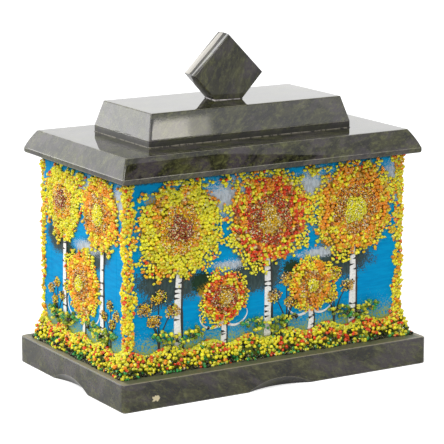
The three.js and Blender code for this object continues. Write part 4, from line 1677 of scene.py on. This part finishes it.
def add_softbox(name, azimuth, elevation, distance, size, radiance, turn=0.0, tint=(1, 1, 1)):
    """A soft lamp of an even brightness. turn is about the line from it to the box."""
    lamp = bpy.data.lights.new(name, "AREA")
    lamp.shape = "RECTANGLE"
    lamp.size, lamp.size_y = size
    lamp.energy = radiance * math.pi * size[0] * size[1]
    lamp.color = tint
    hang(name, lamp, azimuth, elevation, distance, turn)


def seen_rays(tree, mirrored=1.0):
    """1 for the camera's rays, mirrored for those by way of mirrors and glass, 0 for light on things."""
    path = tree.nodes.new("ShaderNodeLightPath").outputs
    indirect = work_out(tree, "MAXIMUM", path["Is Glossy Ray"], path["Is Transmission Ray"])
    return work_out(tree, "MAXIMUM", path["Is Camera Ray"], product(tree, indirect, mirrored))


def flat_mesh(name, length, width):
    """A flat rectangle round the origin."""
    mesh = bpy.data.meshes.new(name)
    mesh.from_pydata([corner.to_3d() for corner in rectangle(length, width)], [], [(0, 1, 2, 3)])
    return mesh


def add_flag(name, azimuth, elevation, distance, size):
    """A black card that only polished faces see, so that they have something dark to mirror."""
    mesh = flat_mesh(name, *size)
    material = bpy.data.materials.new("Black card")
    material.use_nodes = True
    material.node_tree.nodes["Principled BSDF"].inputs["Base Color"].default_value = BLACK_CARD
    mesh.materials.append(material)
    flag = hang(name, mesh, azimuth, elevation, distance)
    flag.visible_diffuse = flag.visible_shadow = flag.visible_transmission = False


def make_world(scene):
    """White where it is seen, and an even light of the stage's level on things."""
    world = bpy.data.worlds.new("Studio")
    world.use_nodes = True
    tree = world.node_tree
    background = tree.nodes["Background"]
    background.inputs["Color"].default_value = (1, 1, 1, 1)
    strength = add_node(tree, "ShaderNodeMix", {0: seen_rays(tree), 2: scene.trinket_stage.level, 3: 1.0},
                        data_type="FLOAT").outputs[0]
    tree.links.new(strength, background.inputs["Strength"])
    scene.world = world


def make_floor(scene):
    """A white floor that keeps the box's shadow."""
    side = scene.trinket_stage.floor
    mesh = flat_mesh("floor", side, side)
    material = bpy.data.materials.new("Studio floor")
    material.use_nodes = True
    tree = material.node_tree
    tree.nodes.clear()
    diffuse = add_node(tree, "ShaderNodeBsdfDiffuse", {"Color": FLOOR_WHITE})
    glow = add_node(tree, "ShaderNodeEmission", {
        "Color": (1, 1, 1, 1), "Strength": product(tree, seen_rays(tree, MIRRORED_GLOW), FLOOR_GLOW)})
    both = add_node(tree, "ShaderNodeAddShader", {0: diffuse.outputs[0], 1: glow.outputs[0]})
    tree.links.new(both.outputs[0], tree.nodes.new("ShaderNodeOutputMaterial").inputs["Surface"])
    mesh.materials.append(material)
    floor = bpy.data.objects.new("floor", mesh)
    scene.collection.objects.link(floor)


def make_camera(scene):
    stage = scene.trinket_stage
    camera = bpy.data.objects.new("camera", bpy.data.cameras.new("camera"))
    camera.data.lens = stage.lens
    camera.data.sensor_width = SENSOR_MM
    toward = direction_of(stage.azimuth, stage.elevation)
    camera.location = Vector(stage.target) + toward * stage.distance
    camera.rotation_euler = toward.to_track_quat("Z", "Y").to_euler()
    scene.collection.objects.link(camera)
    scene.camera = camera


class TRINKET_OT_stage(bpy.types.Operator):
    """Set up the camera, the lamps, the world and the floor"""

    bl_idname = "trinket.stage"
    bl_label = "Stage"

    def execute(self, context):
        scene = context.scene
        scene.view_settings.view_transform = "Standard"
        make_camera(scene)
        make_world(scene)
        make_floor(scene)
        add_softbox("back_softbox", 149, 14, 1.7, (2.2, 0.9), 0.52)
        add_softbox("left_softbox", -150, 1.5, 1.5, (0.9, 0.45), 3.5)
        add_softbox("upper_left_softbox", -150, 20, 1.5, (0.9, 0.52), 1.8)
        add_softbox("knob_softbox", -177.5, 24.6, 1.5, (0.15, 0.2), 3.4, tint=CREAM)
        add_softbox("knob_rim_softbox", -170, 31.3, 1.5, (0.05, 0.15), 3.4)
        add_softbox("front_softbox", 32, 21, 1.6, (0.9, 0.4), 1.0)
        add_softbox("window_softbox", 27.4, 21.5, 1.0, (0.054, 0.05), 4.6, turn=-10.4, tint=CREAM)
        add_softbox("wide_window_softbox", 27.9, 21.5, 1.0, (0.076, 0.05), 3.4, turn=-10.4, tint=CREAM)
        add_softbox("key_softbox", -62, 48, 1.6, (1.1, 1.1), 5.0)
        add_flag("front_flag", 20, 42, 1.3, (0.8, 0.5))
        return {"FINISHED"}


class TRINKET_PT_panel(bpy.types.Panel):
    """Buttons for each piece of the trinket box, in the order in which they are built"""

    bl_idname = "TRINKET_PT_panel"
    bl_label = "Trinket box"
    bl_space_type = "VIEW_3D"
    bl_region_type = "UI"
    bl_category = "Trinket box"

    def draw(self, context):
        for operator in OPERATORS:
            self.layout.operator(operator.bl_idname)
        for name, kind in SETTINGS.items():
            box = self.layout.box()
            for label in kind.__annotations__:
                box.prop(getattr(context.scene, name), label)


SETTINGS = {
    "trinket_stone": StoneSettings,
    "trinket_paint": PaintSettings,
    "trinket_chips": ChipSettings,
    "trinket_stage": StageSettings,
}
OPERATORS = [
    TRINKET_OT_finishes, TRINKET_OT_plinth, TRINKET_OT_walls, TRINKET_OT_lid, TRINKET_OT_knob,
    TRINKET_OT_strips, TRINKET_OT_lining, TRINKET_OT_flowers, TRINKET_OT_leaves, TRINKET_OT_borders,
    TRINKET_OT_strokes, TRINKET_OT_stage,
]


def register():
    for kind in (*SETTINGS.values(), *OPERATORS, TRINKET_PT_panel):
        bpy.utils.register_class(kind)
    for name, kind in SETTINGS.items():
        setattr(bpy.types.Scene, name, bpy.props.PointerProperty(type=kind))


def unregister():
    for name in SETTINGS:
        delattr(bpy.types.Scene, name)
    for kind in reversed((*SETTINGS.values(), *OPERATORS, TRINKET_PT_panel)):
        bpy.utils.unregister_class(kind)


def main():
    register()
    bpy.ops.trinket.finishes()
    bpy.ops.trinket.plinth()
    bpy.ops.trinket.walls()
    bpy.ops.trinket.lid()
    bpy.ops.trinket.knob()
    bpy.ops.trinket.strips()
    bpy.ops.trinket.lining()
    bpy.ops.trinket.flowers()
    bpy.ops.trinket.leaves()
    bpy.ops.trinket.borders()
    bpy.ops.trinket.strokes()
    bpy.ops.trinket.stage()


if __name__ == "__main__":
    main()
